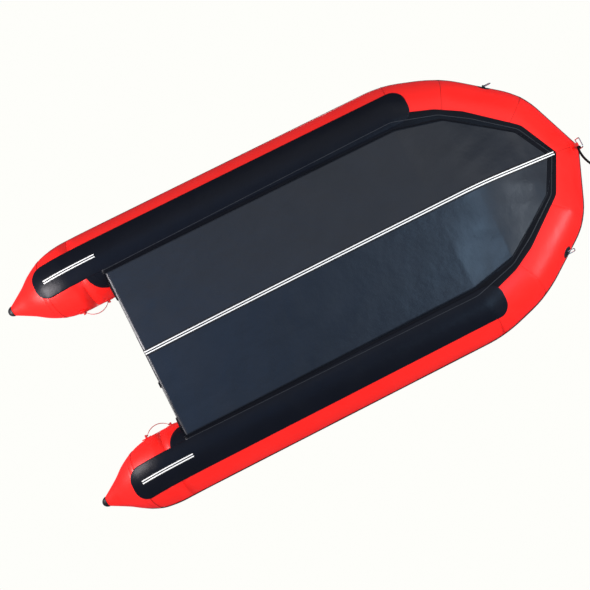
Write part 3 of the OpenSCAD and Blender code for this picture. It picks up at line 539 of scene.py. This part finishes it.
def puckers(gap, phi, phase, inside=1.0):
    """Radial lift near a mitre: the glued joint pinches in, and small pleats fade away from it."""
    ring = (np.sin(11 * phi + phase) + 0.7 * np.sin(17 * phi + 2.1 * phase)
            + 0.5 * np.sin(29 * phi + 0.6 * phase))
    inner = 0.25 + 0.75 * np.clip(-np.sin(phi) * inside, 0, 1)
    pleats = 0.0010 * (ring - 2.2) * inner * np.exp(-gap / 0.055)
    return -0.0018 * np.exp(-(gap / 0.010) ** 2) + pleats * (1 - np.exp(-(gap / 0.012) ** 2))


END_GAPS = np.array([0, 1.5, 3, 5, 8, 12, 18, 26, 36, 50, 68, 90, 120, 160]) * MM


def length_rows(i, phi, start, end, puck_start, puck_end, step=0.05):
    """Distances along length i for every phi, as rows from its start to its end."""
    span = float(np.min(end - start))
    head = END_GAPS[END_GAPS < span * 0.45] if puck_start else END_GAPS[:1]
    tail = END_GAPS[END_GAPS < span * 0.45] if puck_end else END_GAPS[:1]
    middle = np.linspace(head[-1], span - tail[-1], max(3, int((span - head[-1] - tail[-1]) / step)))
    gaps = np.r_[head[:-1], middle, span - tail[::-1][1:]]
    share = gaps / span
    t = start + share[:, None] * (end - start)
    from_start, from_end = (t - start), (end - t)
    lift = np.zeros_like(t)
    painted_shade = np.zeros_like(t)
    grid_phi = np.broadcast_to(phi, t.shape)
    # The seam grooves get a mask of painted shade.
    if puck_start:
        lift += puckers(from_start, grid_phi, 1.3 * i)
        painted_shade = np.maximum(painted_shade, seam_groove_shade(from_start))
    if puck_end:
        lift += puckers(from_end, grid_phi, 1.3 * (i + 1))
        painted_shade = np.maximum(painted_shade, seam_groove_shade(from_end))
    return t, grid_phi, lift, painted_shade


def waves(points, amount):
    """Slow unevenness of an inflated tube."""
    x, y, z = points[..., 0], points[..., 1], points[..., 2]
    return amount * (np.sin(9.1 * y + 3 * x) + 0.6 * np.sin(23 * y - 7 * z + 1.1)
                     + 0.5 * np.sin(15 * x + 11 * z + 0.4) - 2.1)


def tube_length(i, start, end, puck=(True, True)):
    t, phi, lift, painted_shade = length_rows(i, PHI, start, end, *puck)
    lift = lift + waves(tube_point(i, t, phi), 0.0004)
    return eased(i, tube_point(i, t, phi, lift), phi), painted_shade


full = np.ones_like(PHI)
seam_start = full * CONE_SEAM
side_parts = [
    tube_length(0, seam_start, mitre_t(0, 1, PHI), (True, False)),
    tube_length(1, mitre_t(1, 0, PHI), mitre_t(1, 1, PHI), (False, True)),
]
bow_parts = [tube_length(i, mitre_t(i, 0, PHI), mitre_t(i, 1, PHI)) for i in (2, 3, 4)]
cone_t = np.r_[np.linspace(CONE_START, 0.32, 30), CONE_SEAM - END_GAPS[8::-1]]
cone_grid = np.broadcast_to(cone_t[:, None], (len(cone_t), len(PHI)))
cone_phi = np.broadcast_to(PHI, cone_grid.shape)
cone_lift = -0.0014 * np.exp(-((CONE_SEAM - cone_grid) / 0.010) ** 2)
# The cone's seam groove gets painted shade as well.
cone_parts = [(tube_point(0, cone_grid, cone_phi, cone_lift), seam_groove_shade(CONE_SEAM - cone_grid))]
cap_a = np.radians(np.linspace(3, 90, 10))
cap_rows = np.stack([PATH[0] + DIRS[0] * (CONE_START * (1 - math.cos(a)) + 0.0002)
                     + 0.034 * math.sin(a) * ring_dir(0, PHI) for a in cap_a])
SKIN = 0.0012
for side, mirror in (("port", False), ("starboard", True)):
    obj = sheet_object(f"{side}_tube_skin", outward(side_parts), True, SKIN, mirror=mirror)
    piece(obj, red_fabric, "tube_red", f"{side}_tube")
    obj = sheet_object(f"{side}_cone_skin", outward(cone_parts), True, SKIN, mirror=mirror)
    piece(obj, cone_fabric, "tube_red", f"{side}_cone")
    obj = sheet_object(f"{side}_cone_tip", outward([(cap_rows, None)]), True, SKIN, mirror=mirror)
    piece(obj, black_rubber, "trim_black", f"{side}_cone_cap")
mirrored = [(np.flip(p * [-1, 1, 1], 1), np.flip(s, 1)) for p, s in outward(bow_parts)]
bow_skin = sheet_object("bow_tube_skin", outward(bow_parts) + mirrored, True, SKIN)
piece(bow_skin, red_fabric, "tube_red", "bow_tube")

# Membranes between the air chambers, domed by the pressure on one side
shares = np.linspace(0.02, 1, 14)[:, None]
rim = tube_point(1, mitre_t(1, 1, PHI, TUBE_R - 0.004) - 0.002, PHI, -0.004)
hub = rim.mean(0)
dome = [hub + k * (rim - hub) - DIRS[1] * 0.03 * (1 - k * k) for k in shares[:, 0]]
dome = [(np.stack(dome), None)]
mirrored = [(np.flip(dome[0][0] * [-1, 1, 1], 1), None)]
piece(sheet_object("chamber_baffles", dome + mirrored, True, SKIN), red_fabric, "tube_red", "baffles")


# ---------------------------------------------------------------- patches draped on the tubes
def side_plan(x, s):
    """Plan position from the distance outboard of the side tube's axis and along it."""
    q = PATH[1] + (s - KNEE_S)[..., None] * DIRS[1] + x[..., None] * OUTS[1]
    return q[..., 0], q[..., 1]


def draped(x, y, lift):
    return np.stack([x, y, under(x, y, lift)], -1)


def creases(x, s):
    """Wrinkles of the tensioned bottom: slow waves, and fine ones that run in from its edges."""
    h = np.maximum(chine_half(s), 1e-3)
    j = x / h
    edge = np.sin(np.pi * np.clip(j, 0, 1)) ** 0.8
    slow = 0.0016 * np.sin(4.2 * s + 5 * x) * np.sin(3.1 * x / 0.3 + 0.7)
    fine = 0.0006 * np.sin(24 * s + 14 * x + 2.2 * np.sin(3 * s)) * (0.4 + np.clip(j - 0.4, 0, 1))
    bow = 0.0012 * np.sin(38 * x - 16 * s) * np.clip((s - 2.0) / 0.5, 0, 1)
    stern = 0.0010 * np.sin(30 * x + 4 * s) * np.clip((0.35 - s) / 0.35, 0, 1)
    return (slow + fine + bow + stern) * edge


def on_bottom(x, s, lift):
    """Draped on whichever is lower: the tubes, or the bottom inside its chine."""
    tube = draped(x, TRANSOM_Y - s, lift)
    panel = panel_z(x, s) + creases(x, s) - lift
    inside = np.abs(x) < chine_half(s) + 0.002
    tube[..., 2] = np.where(inside, np.minimum(tube[..., 2], panel), tube[..., 2])
    return tube


EDGE_SUNK = -0.0030


def bordered(x, s, lift, edge=0.0012):
    """Adds a border round a patch that goes down into the surface below it."""
    for axis in (0, 1):
        first = np.take(x, [0], axis), np.take(s, [0], axis)
        second = np.take(x, [1], axis), np.take(s, [1], axis)
        last = np.take(x, [-1], axis), np.take(s, [-1], axis)
        fore = np.take(x, [-2], axis), np.take(s, [-2], axis)
        out = []
        for (a, b), (c, d) in ((first, second), (last, fore)):
            gap = np.maximum(np.hypot(a - c, b - d), 1e-9)
            out.append((a + (a - c) / gap * edge, b + (b - d) / gap * edge))
        x = np.concatenate([out[0][0], x, out[1][0]], axis)
        s = np.concatenate([out[0][1], s, out[1][1]], axis)
        low = np.take(lift, [0], axis) * 0 + EDGE_SUNK
        lift = np.concatenate([low, lift, low], axis)
    return x, s, lift


DOUBLER_IN, DOUBLER_OUT = 0.078, 0.143
DOUBLER_S0, DOUBLER_S1, CORNER = -0.462, 2.242, 0.090
ends = CORNER * (1 - np.cos(np.linspace(0, np.pi / 2, 16)))
rows_s = np.r_[DOUBLER_S0 + ends, np.linspace(DOUBLER_S0 + CORNER, DOUBLER_S1 - CORNER, 120)[1:-1],
               DOUBLER_S1 - ends[::-1]]
depth = np.minimum(rows_s - DOUBLER_S0, DOUBLER_S1 - rows_s)
inset = np.where(depth < CORNER,
                 CORNER - np.sqrt(np.maximum(CORNER**2 - (CORNER - depth) ** 2, 0)), 0)
share = np.linspace(0, 1, 40)
X = -(DOUBLER_IN - inset)[:, None] + share * (DOUBLER_OUT + DOUBLER_IN - 2 * inset)[:, None]
S = np.broadcast_to(rows_s[:, None], X.shape)
ripple = 0.0004 * np.sin(31 * S + 9 * X) * np.sin(13 * S + 1)
Xb, Sb, Lb = bordered(X, S, 0.0036 + ripple)
px, py = side_plan(Xb, Sb)
doubler_part = [(draped(px, py, Lb), None)]

# Two white ribs on a dark base strip
GUARD_S0, GUARD_S1, GUARD_OUT = -0.390, -0.015, 0.033
gs = np.linspace(GUARD_S0, GUARD_S1, 60)
base_x = GUARD_OUT + np.linspace(-0.017, 0.017, 9)
X, S = np.meshgrid(base_x, gs)
Xb, Sb, Lb = bordered(X, S, X * 0 + 0.0044)
px, py = side_plan(Xb, Sb)
guard_base = [(draped(px, py, Lb), None)]
guard_ribs = []
for middle in (GUARD_OUT - 0.0076, GUARD_OUT + 0.0076):
    X, S = np.meshgrid(middle + np.array([-3.0, -2.4, -1.2, 0, 1.2, 2.4, 3.0]) * MM, gs)
    crown = 0.0070 - 0.0005 * np.abs((X - middle) / 0.0030) ** 2
    Xb, Sb, Lb = bordered(X, S, crown)
    px, py = side_plan(Xb, Sb)
    guard_ribs.append((draped(px, py, np.maximum(Lb, 0.0041)), None))

# Quarter round reinforcement behind the transom
PATCH_R, PATCH_IN, PATCH_S = 0.130, 0.056, 0.002
a = np.radians(np.linspace(180, 360, 40))
rr = np.linspace(0.0, 1, 22)
ridge_at = [0.62, 0.86]
R, A = np.meshgrid(rr, a)
X = -PATCH_IN + PATCH_R * R * np.cos(A)
S = np.minimum(PATCH_S + PATCH_R * R * np.sin(A), PATCH_S - 0.001)
L = 0.0012 + sum(0.0011 * np.exp(-((R - k) / 0.02) ** 2) for k in ridge_at)
L[:, -1] = 0
px, py = side_plan(X, S)
patch_part = [(draped(px, py, L), np.clip((L - 0.0014) * 1200, 0, 1))]

# The band where the bottom is glued to the tubes, with a raised welt along its middle; the welt is coloured
# lighter than the band as a painted highlight along its ridge.
TAPE_IN = np.array([[-16, 597], [2088, 578], [2395, 502], [2590, 366], [2782, 227], [2904, 3]])
TAPE_OUT = np.array([[-16, 640], [2091, 690], [2380, 590], [2540, 500], [2840, 255], [2966, 3]])
TAPE_IN[0, 1] = spacing(-0.016) / MM - 102
k_of = np.r_[np.linspace(0, 1, 90), np.linspace(1, 5, 110)[1:]]
knots = np.arange(6)
inner = np.stack([np.interp(k_of, knots, TAPE_IN[:, c]) for c in (0, 1)], 1) * MM
outer = np.stack([np.interp(k_of, knots, TAPE_OUT[:, c]) for c in (0, 1)], 1) * MM


def smooth_line(line, times=6):
    for _ in range(times):
        line[1:-1] = 0.25 * line[:-2] + 0.5 * line[1:-1] + 0.25 * line[2:]
    return line


inner, outer = smooth_line(inner, 2), smooth_line(outer, 3)
across = np.linspace(0, 1, 15)
plan = inner[:, None] + across[None, :, None] * (outer - inner)[:, None]
tape_lift = np.full(plan.shape[:2], 0.0024)
tape_part = [(on_bottom(*bordered(plan[..., 1], plan[..., 0], tape_lift)), None)]
tangent = np.gradient(inner * 0.5 + outer * 0.5, axis=0)
tangent /= np.linalg.norm(tangent, axis=1)[:, None]
side_way = np.stack([-tangent[:, 1], tangent[:, 0]], 1)
welt_mid = inner + 0.50 * (outer - inner)
welt_x = np.array([-3.0, -2.4, -1.2, 0, 1.2, 2.4, 3.0]) * MM
welt_plan = welt_mid[:, None] + welt_x[None, :, None] * side_way[:, None]
welt_lift = np.broadcast_to(0.0024 + 0.0022 * np.cos(welt_x / 0.003 * np.pi / 2) ** 0.5, welt_plan.shape[:2])
welt_part = [(on_bottom(welt_plan[..., 1], welt_plan[..., 0], welt_lift), None)]

for side, mirror in (("port", False), ("starboard", True)):
    obj = sheet_object(f"{side}_doubler_cloth", doubler_part, False, 0.001, mirror=mirror)
    piece(obj, black_fabric, "trim_black", f"{side}_doubler")
    obj = sheet_object(f"{side}_guard_base", guard_base, False, 0.001, 40, mirror=mirror)
    piece(obj, black_rubber, "guard_black")
    obj = sheet_object(f"{side}_guard_ribs", guard_ribs, False, 0.001, 40, mirror=mirror)
    piece(obj, white_rubber, "guard_white", f"{side}_tube_guard")
    obj = sheet_object(f"{side}_transom_patch_cloth", patch_part, False, 0.0008, mirror=mirror)
    piece(obj, black_fabric, "trim_black", f"{side}_transom_patch")
    obj = sheet_object(f"{side}_tape_cloth", tape_part, False, 0.0008, mirror=mirror)
    piece(obj, tape_fabric, "trim_black", f"{side}_seam_tape")
    obj = sheet_object(f"{side}_tape_welt", welt_part, False, 0.0008, mirror=mirror)
    piece(obj, welt_highlight_rubber, "trim_black")

# ---------------------------------------------------------------- rub rail
prof = np.array([[-11, 0.2], [-10.7, 1.9], [-9.2, 2.9], [-6, 3.2], [-4.9, 2.6], [-3.8, 3.5], [0, 3.7],
                 [3.8, 3.5], [4.9, 2.6], [6, 3.2], [9.2, 2.9], [10.7, 1.9], [11, 0.2]]) * MM
rail_phi = np.pi / 2 + np.arcsin(prof[:, 0] / TUBE_R)
rail_rows = []
for i in LENGTHS:
    start = np.full(len(rail_phi), 0.248) if i == 0 else mitre_t(i, 0, rail_phi)
    end = mitre_t(i, 1, rail_phi)
    steps = max(4, int(RUNS[i] / 0.03))
    for k in range(steps + (i == 4)):
        t = start + (end - start) * k / steps
        grow = np.clip(k / 2.0, 0.25, 1) if i == 0 else 1.0
        rail_rows.append(eased(i, tube_point(i, t, rail_phi, prof[:, 1] * grow), rail_phi))
rail = np.stack(rail_rows)
rail_parts = [(rail, None), (np.flip(rail * [-1, 1, 1], 1), None)]
piece(sheet_object("rub_rail_strip", outward(rail_parts), False, 0.0015, 50), black_rubber, "trim_black",
      "rub_rail")

# ---------------------------------------------------------------- bottom
LAST_S = KEEL_END - 0.016
ps = np.r_[np.linspace(0, 2.0, 100), np.linspace(2.0, LAST_S, 90)[1:]]
pj = np.linspace(0, 1, 40)
S, J = np.meshgrid(ps, pj, indexing="ij")
X = 0.0002 + (chine_half(S) - 0.0002) * J


Z = panel_z(X, S) + creases(X, S)
panel = np.stack([X, TRANSOM_Y - S, Z], -1)
for side, mirror in (("port", False), ("starboard", True)):
    obj = sheet_object(f"{side}_bottom_cloth", outward([(panel, None)]), False, 0.0012, mirror=mirror)
    piece(obj, hull_fabric, "hull_black", f"{side}_bottom_panel")


def keel_strip(xs, lifts, count=170):
    """A strip along the keel that follows the V of the bottom."""
    s = np.linspace(0, KEEL_END - 0.016, count)
    X, S = np.meshgrid(xs, s)
    half = np.maximum(chine_half(S), 1e-3)
    Z = panel_z(np.minimum(np.abs(X), half), S) - lifts
    return np.stack([X, TRANSOM_Y - S, Z], -1)


base_x = np.array([-22, -21.4, -14, -7, -0.4, 0, 0.4, 7, 14, 21.4, 22]) * MM
base_l = np.array([0.1, 1.6, 1.9, 2.1, 2.2, 2.2, 2.2, 2.1, 1.9, 1.6, 0.1]) * MM
piece(sheet_object("keel_guard_base", outward([(keel_strip(base_x, base_l), None)]), False, 0.001, 40),
      black_rubber, "guard_black")
rib_x = np.array([-2.9, -2.8, -1.9, -0.8, 0.8, 1.9, 2.8, 2.9]) * MM
rib_l = np.array([1.2, 4.0, 4.6, 4.8, 4.8, 4.6, 4.0, 1.2]) * MM
ribs = [(keel_strip(rib_x + middle, rib_l), None) for middle in (-0.0078, 0.0078)]
piece(sheet_object("keel_guard_ribs", outward(ribs), False, 0.001, 40), white_rubber, "guard_black",
      "keel_guard")

# Flap that closes the bottom under the transom
hem_half = chine_half(0.0)
hx = np.linspace(-hem_half, hem_half, 70)
hz = np.array([0.0, 0.004, 0.012, 0.022, 0.032, 0.0395, 0.0400])
X, H = np.meshgrid(hx, hz)
low = panel_z(np.abs(X), X * 0)
Yh = TRANSOM_Y + 0.0022 + 0.0008 * np.sin(40 * X) * np.sin(H / 0.04 * np.pi)
piece(sheet_object("stern_hem_cloth", [(np.stack([X, Yh, low + H], -1), None)], False, 0.0014),
      tape_fabric, "hull_black", "stern_hem")

# Inflated keel inside, tapered to both ends, with its lengthwise seam
keel_a, keel_b = at(0, 0.110, 0.102), at(0, 2.380, 0.080)
keel_run = np.linalg.norm(keel_b - keel_a)
prof_t = np.array([0, 0.012, 0.03, 0.06, 0.30, 1.1, 1.75, keel_run - 0.03, keel_run - 0.006, keel_run])
prof_r = np.array([0.002, 0.020, 0.034, 0.044, 0.049, 0.0625, 0.0625, 0.026, 0.018, 0.002])
kt = np.r_[np.linspace(0, 0.06, 14), np.linspace(0.09, keel_run - 0.05, 90),
           np.linspace(keel_run - 0.04, keel_run, 10)]
kr = np.interp(kt, prof_t, prof_r)
kd = unit(keel_b - keel_a)
k_up = np.cross([1.0, 0, 0], kd)
kp = PHI[None, :]
tuck = -0.0012 * np.exp(-((np.abs(kp) - np.pi / 2) / 0.04) ** 2)
K = keel_a + kt[:, None, None] * kd + (kr[:, None] + tuck * (kr > 0.03)[:, None])[..., None] * (
    np.cos(PHI)[None, :, None] * k_up + np.sin(PHI)[None, :, None] * np.array([1.0, 0, 0]))
piece(sheet_object("air_keel_skin", [(K, None)], True, SKIN), black_fabric, "hull_black", "air_keel")


# ---------------------------------------------------------------- webbing handles
HANDLE_S, HANDLE_HALF, HANDLE_RISE, HANDLE_LIFT, WEB_W = -0.150, 0.078, 0.038, 0.011, 0.025
handle_r = (HANDLE_HALF**2 + HANDLE_RISE**2) / (2 * HANDLE_RISE)
h_origin = PATH[1] + (HANDLE_S - KNEE_S) * DIRS[1] - TUBE_R * OUTS[1]
h_x, h_z = DIRS[1], -OUTS[1]
h_y = np.cross(h_z, h_x)


def handle_point(x, y, z):
    return h_origin + x[..., None] * h_x + y[..., None] * h_y + z[..., None] * h_z


sweep = math.asin(HANDLE_HALF / handle_r)
arc = np.linspace(-sweep, sweep, 48)
around = np.linspace(0, 2 * np.pi, 21)[:-1]
web_y = 0.5 * WEB_W * np.sign(np.cos(around)) * np.abs(np.cos(around)) ** 0.25
web_n = 0.0014 * np.sign(np.sin(around)) * np.abs(np.sin(around)) ** 0.6
rows = []
for a in arc:
    rr_ = handle_r + web_n
    rows.append(handle_point(rr_ * math.sin(a), web_y * (1 - 0.48 * (a / sweep) ** 4),
                             HANDLE_LIFT + HANDLE_RISE - handle_r + rr_ * math.cos(a)))
web = [(np.stack(rows), None)]
for k in (-1, 1):
    turn = np.linspace(0, 2 * np.pi, 25)[:-1]
    loops = []
    for y in np.array([-6.5, -6.0, -3, 0, 3, 6.0, 6.5]) * MM:
        r_ = 0.0048 if abs(y) < 0.0062 else 0.0044
        loops.append(handle_point(k * (HANDLE_HALF + 0.001) + r_ * np.cos(turn), np.full(24, y),
                                  HANDLE_LIFT + r_ * np.sin(turn)))
    web.append((np.stack(loops), None))
for side, mirror in (("port", False), ("starboard", True)):
    obj = sheet_object(f"{side}_handle_webbing", web, True, 0, 50, mirror=mirror)
    pins = []
    for k in (-1, 1):
        line = [handle_point(np.array(k * (HANDLE_HALF + 0.007) + d), np.array(0.0),
                             np.array(HANDLE_LIFT)) for d in np.linspace(-0.009, 0.009, 5)]
        if mirror:
            line = [p * [-1, 1, 1] for p in line]
        pins.append(tube_mesh(line, 0.004, 16))
    piece(obj, red_webbing, "webbing_red", f"{side}_handle", body=f"{side}_handle_body")
    pin = joined(f"{side}_handle_pins", pins, 40)
    piece(pin, black_plastic, "webbing_red", body=f"{side}_handle_body")

# ---------------------------------------------------------------- glued patches with saddles
def dropped(i, frame_, u, v, lift):
    """Points on length i's surface, straight in from the plane of a frame (origin, x, y, z)."""
    o, ex, ey, ez = frame_
    start = o + u[..., None] * ex + v[..., None] * ey + 0.15 * ez
    w = start - PATH[i]
    across_w = w - (w @ DIRS[i])[..., None] * DIRS[i]
    across_z = -ez + (ez @ DIRS[i]) * DIRS[i]
    a, b = across_z @ across_z, 2 * across_w @ across_z
    c = (across_w**2).sum(-1) - (TUBE_R + lift) ** 2
    return start - ((-b - np.sqrt(np.maximum(b * b - 4 * a * c, 0))) / (2 * a))[..., None] * ez


def disc(i, frame_, radius_, middle=0.0, folded=False):
    """A round patch with a soft edge and a raised stitch line. Folded ones cross the bow's crease."""
    rr_, aa = np.meshgrid([0.02, 0.3, 0.6, 0.8, 0.84, 0.87, 0.9, 0.94, 0.975, 0.992, 1.0],
                          np.linspace(0, 2 * np.pi, 73), indexing="ij")
    u, v = middle + radius_ * rr_ * np.cos(aa), radius_ * rr_ * np.sin(aa)
    up = np.select([rr_ > 0.995, rr_ > 0.98, rr_ > 0.96], [-0.0025, 0.0008, 0.0018], 0.0023)
    up = up + 0.0006 * np.exp(-((rr_ - 0.87) / 0.02) ** 2)
    points_ = dropped(i, frame_, np.abs(u) if folded else u, v, up)
    if folded:
        points_[..., 0] = np.abs(points_[..., 0]) * np.where(u < 0, -1, 1)
    return points_, None


def saddle(frame_, lift, bore, wall, length, middle=0.0):
    """A block on the patch with a bore for the bar: its cross-section is an arch with a flared foot."""
    o, ex, ey, ez = frame_
    r = bore + wall
    a = np.radians(np.linspace(0, 180, 17))
    foot = np.array([[r + 0.0045, -0.004], [r + 0.0045, 0.001], [r + 0.0015, 0.003], [r, 0.006]])
    arch = np.stack([r * np.cos(a), lift + r * np.sin(a)], 1)
    arch = arch[1:-1] if lift > 0.006 else arch
    outline = np.concatenate([foot, arch, foot[::-1] * [-1, 1], [[0, -0.004]]])
    turn = np.arctan2(outline[:, 1] - lift, outline[:, 0])
    hole = np.stack([bore * np.cos(turn), lift + bore * np.sin(turn)], 1)
    rows_ = []
    for at_x, shape in ((-0.5, hole), (-0.5, outline * [0.9, 0.96]), (-0.42, outline),
                        (0.42, outline), (0.5, outline * [0.9, 0.96]), (0.5, hole), (-0.5, hole)):
        rows_.append(o + (middle + at_x * length) * ex + shape[:, :1] * ey + shape[:, 1:] * ez)
    return np.stack(rows_), None


bow_z = np.array([0, -math.cos(RING_DOWN), -math.sin(RING_DOWN)])
bow_frame = (PATH[5] + BOW_SURFACE * bow_z, np.array([1.0, 0, 0]), np.cross(bow_z, [1.0, 0, 0]), bow_z)
side_up = unit(np.cross(DIRS[3], OUTS[3]))
side_up = side_up if side_up[2] > 0 else -side_up
SIDE_RING_DOWN, SIDE_RING_SHARE, SIDE_LIFT = math.radians(14), 0.58, 0.009
ring_z = math.cos(SIDE_RING_DOWN) * OUTS[3] - math.sin(SIDE_RING_DOWN) * side_up
ring_frame = (PATH[3] + SIDE_RING_SHARE * RUNS[3] * DIRS[3] + TUBE_R * ring_z, DIRS[3],
              np.cross(ring_z, DIRS[3]), ring_z)
handle_frame = (h_origin, h_x, h_y, h_z)
ANCHOR_AT = HANDLE_HALF + 0.012
bow_patch = [disc(4, bow_frame, 0.058, folded=True)]
obj = sheet_object("bow_patch_cloth", outward(bow_patch), False, 0.001)
piece(obj, red_fabric, "tube_red", "bow_ring_patch")
obj = sheet_object("bow_patch_saddle", [saddle(bow_frame, BOW_LIFT, 0.0039, 0.0036, 0.027)], True, 0, 40)
piece(obj, red_rubber, "tube_red")
for side, mirror in (("port", False), ("starboard", True)):
    obj = sheet_object(f"{side}_ring_patch_disc", outward([disc(3, ring_frame, 0.042)]), False, 0.001,
                       mirror=mirror)
    piece(obj, black_rubber, "trim_black", f"{side}_ring_patch")
    obj = sheet_object(f"{side}_ring_saddle", [saddle(ring_frame, SIDE_LIFT, 0.0034, 0.0036, 0.022)], True,
                       0, 40, mirror=mirror)
    piece(obj, black_rubber, "trim_black")
    pads = [disc(i, handle_frame, 0.034, k * ANCHOR_AT) for i, k in ((0, -1), (1, 1))]
    obj = sheet_object(f"{side}_handle_pads", outward(pads), False, 0.001, mirror=mirror)
    piece(obj, red_fabric, "webbing_red", *(["handle_anchors"] if mirror else []))
    blocks = [saddle(handle_frame, HANDLE_LIFT, 0.0043, 0.0045, 0.014, k * ANCHOR_AT) for k in (-1, 1)]
    obj = sheet_object(f"{side}_handle_saddles", blocks, True, 0, 40, mirror=mirror)
    piece(obj, red_rubber, "webbing_red")

# ---------------------------------------------------------------- materials of the CAD nodes that stay
KEPT = {
    steel: ["bow_ring", "port_ring", "starboard_ring", "motor_pad_bolts"],
    black_rubber: ["port_transom_holder", "starboard_transom_holder", "drain_valve", "seat_rails",
                   "port_oar_socket", "starboard_oar_socket"],
    grey_plastic: ["drain_plug", "port_valve", "starboard_valve", "bow_valve", "keel_valve"],
    black_plastic: ["port_valve_cap", "starboard_valve_cap", "bow_valve_cap", "keel_valve_cap"],
    paint_grey: ["transom_board"],
    pad_plastic: ["inner_motor_pad", "outer_motor_pad"],
    floor_metal: ["floor_aft", "floor_middle", "floor_bow", "aft_bench", "forward_bench"],
    joiner_metal: ["floor_joiners", "stringers"],
}
for mat, names in KEPT.items():
    for name in names:
        for slot in nodes[name].material_slots:
            slot.material = mat

# ---------------------------------------------------------------- stage and light
floor_mat, nt, shader = tree("stage_floor")
shader.inputs["Base Color"].default_value = (0.86, 0.86, 0.84, 1)
shader.inputs["Roughness"].default_value = 0.9
clear = node(nt, "ShaderNodeBsdfTransparent")
facing = node(nt, "ShaderNodeNewGeometry")
mix = node(nt, "ShaderNodeMixShader", {"Fac": facing.outputs["Backfacing"], 1: shader.outputs[0],
                                       2: clear.outputs[0]})
nt.links.new(mix.outputs[0], nt.nodes["Material Output"].inputs["Surface"])
FLOOR = 30.0
floor = make("stage_floor", [(-FLOOR, -FLOOR, -0.001), (FLOOR, -FLOOR, -0.001), (FLOOR, FLOOR, -0.001),
                             (-FLOOR, FLOOR, -0.001)], [(0, 1, 2, 3)])
floor.data.materials.append(floor_mat)
floor.visible_diffuse = floor.visible_glossy = floor.visible_shadow = False

world = bpy.data.worlds.new("world")
bpy.context.scene.world = world
world.use_nodes = True
wt = world.node_tree
sky = wt.nodes["Background"]
sky.inputs["Color"].default_value = (1.0, 0.985, 0.97, 1)
sky.inputs["Strength"].default_value = 0.80
mirrored_sky = node(wt, "ShaderNodeBackground", {"Color": (0.06, 0.075, 0.11, 1), "Strength": 1.0})
seen = node(wt, "ShaderNodeBackground", {"Color": (0.99, 0.99, 0.955, 1), "Strength": 1.0})
ray = node(wt, "ShaderNodeLightPath")
unseen = node(wt, "ShaderNodeMixShader", {"Fac": ray.outputs["Is Glossy Ray"], 1: sky.outputs[0],
                                          2: mirrored_sky.outputs[0]})
both = node(wt, "ShaderNodeMixShader", {"Fac": ray.outputs["Is Camera Ray"], 1: unseen.outputs[0],
                                        2: seen.outputs[0]})
wt.links.new(both.outputs[0], wt.nodes["World Output"].inputs["Surface"])


def light(name, right, up, back, size, watts, color=(1, 1, 1), aim=None, mirrored=True):
    """A soft area light placed by the picture's right, up and towards-the-eye, from the target."""
    lamp = bpy.data.lights.new(name, "AREA")
    lamp.energy = watts
    lamp.color = color
    lamp.size = size
    obj = bpy.data.objects.new(name, lamp)
    place = TARGET + right * RIGHT + up * UP + back * BACK
    look = Vector((TARGET if aim is None else aim) - place)
    obj.matrix_world = Matrix.Translation(place) @ look.to_track_quat("-Z", "Y").to_matrix().to_4x4()
    obj.visible_camera = False
    obj.visible_glossy = mirrored
    bpy.context.scene.collection.objects.link(obj)


light("bow_key", 3.6, 0.8, 2.2, 1.6, 68, (1.0, 0.97, 0.95), mirrored=False)
light("side_key", -0.6, -3.8, 1.9, 1.6, 40, (1.0, 0.98, 0.97), mirrored=False)
light("stern_card", -3.1, -0.7, 0.9, 1.1, 75, (1.0, 0.94, 0.97), aim=TARGET - 1.7 * RIGHT + 0.2 * UP)
light("panel_card", -0.3, 3.2, 3.6, 4.2, 21)
light("fore_card", 3.0, 3.4, 3.4, 3.2, 24)
light("blue_card", -2.2, 0.4, 5.0, 4.0, 30, (0.22, 0.48, 1.0), aim=TARGET - 0.9 * RIGHT)
light("cool_card", 2.3, 0.4, 4.0, 1.7, 32, (0.45, 0.70, 1.0))
light("bow_card", 4.2, 0.6, 1.4, 0.8, 34, (0.80, 0.90, 1.0))
light("inside_key", 0.6, 0.5, -4.0, 3.0, 75)

bpy.context.scene.view_settings.view_transform = "Standard"
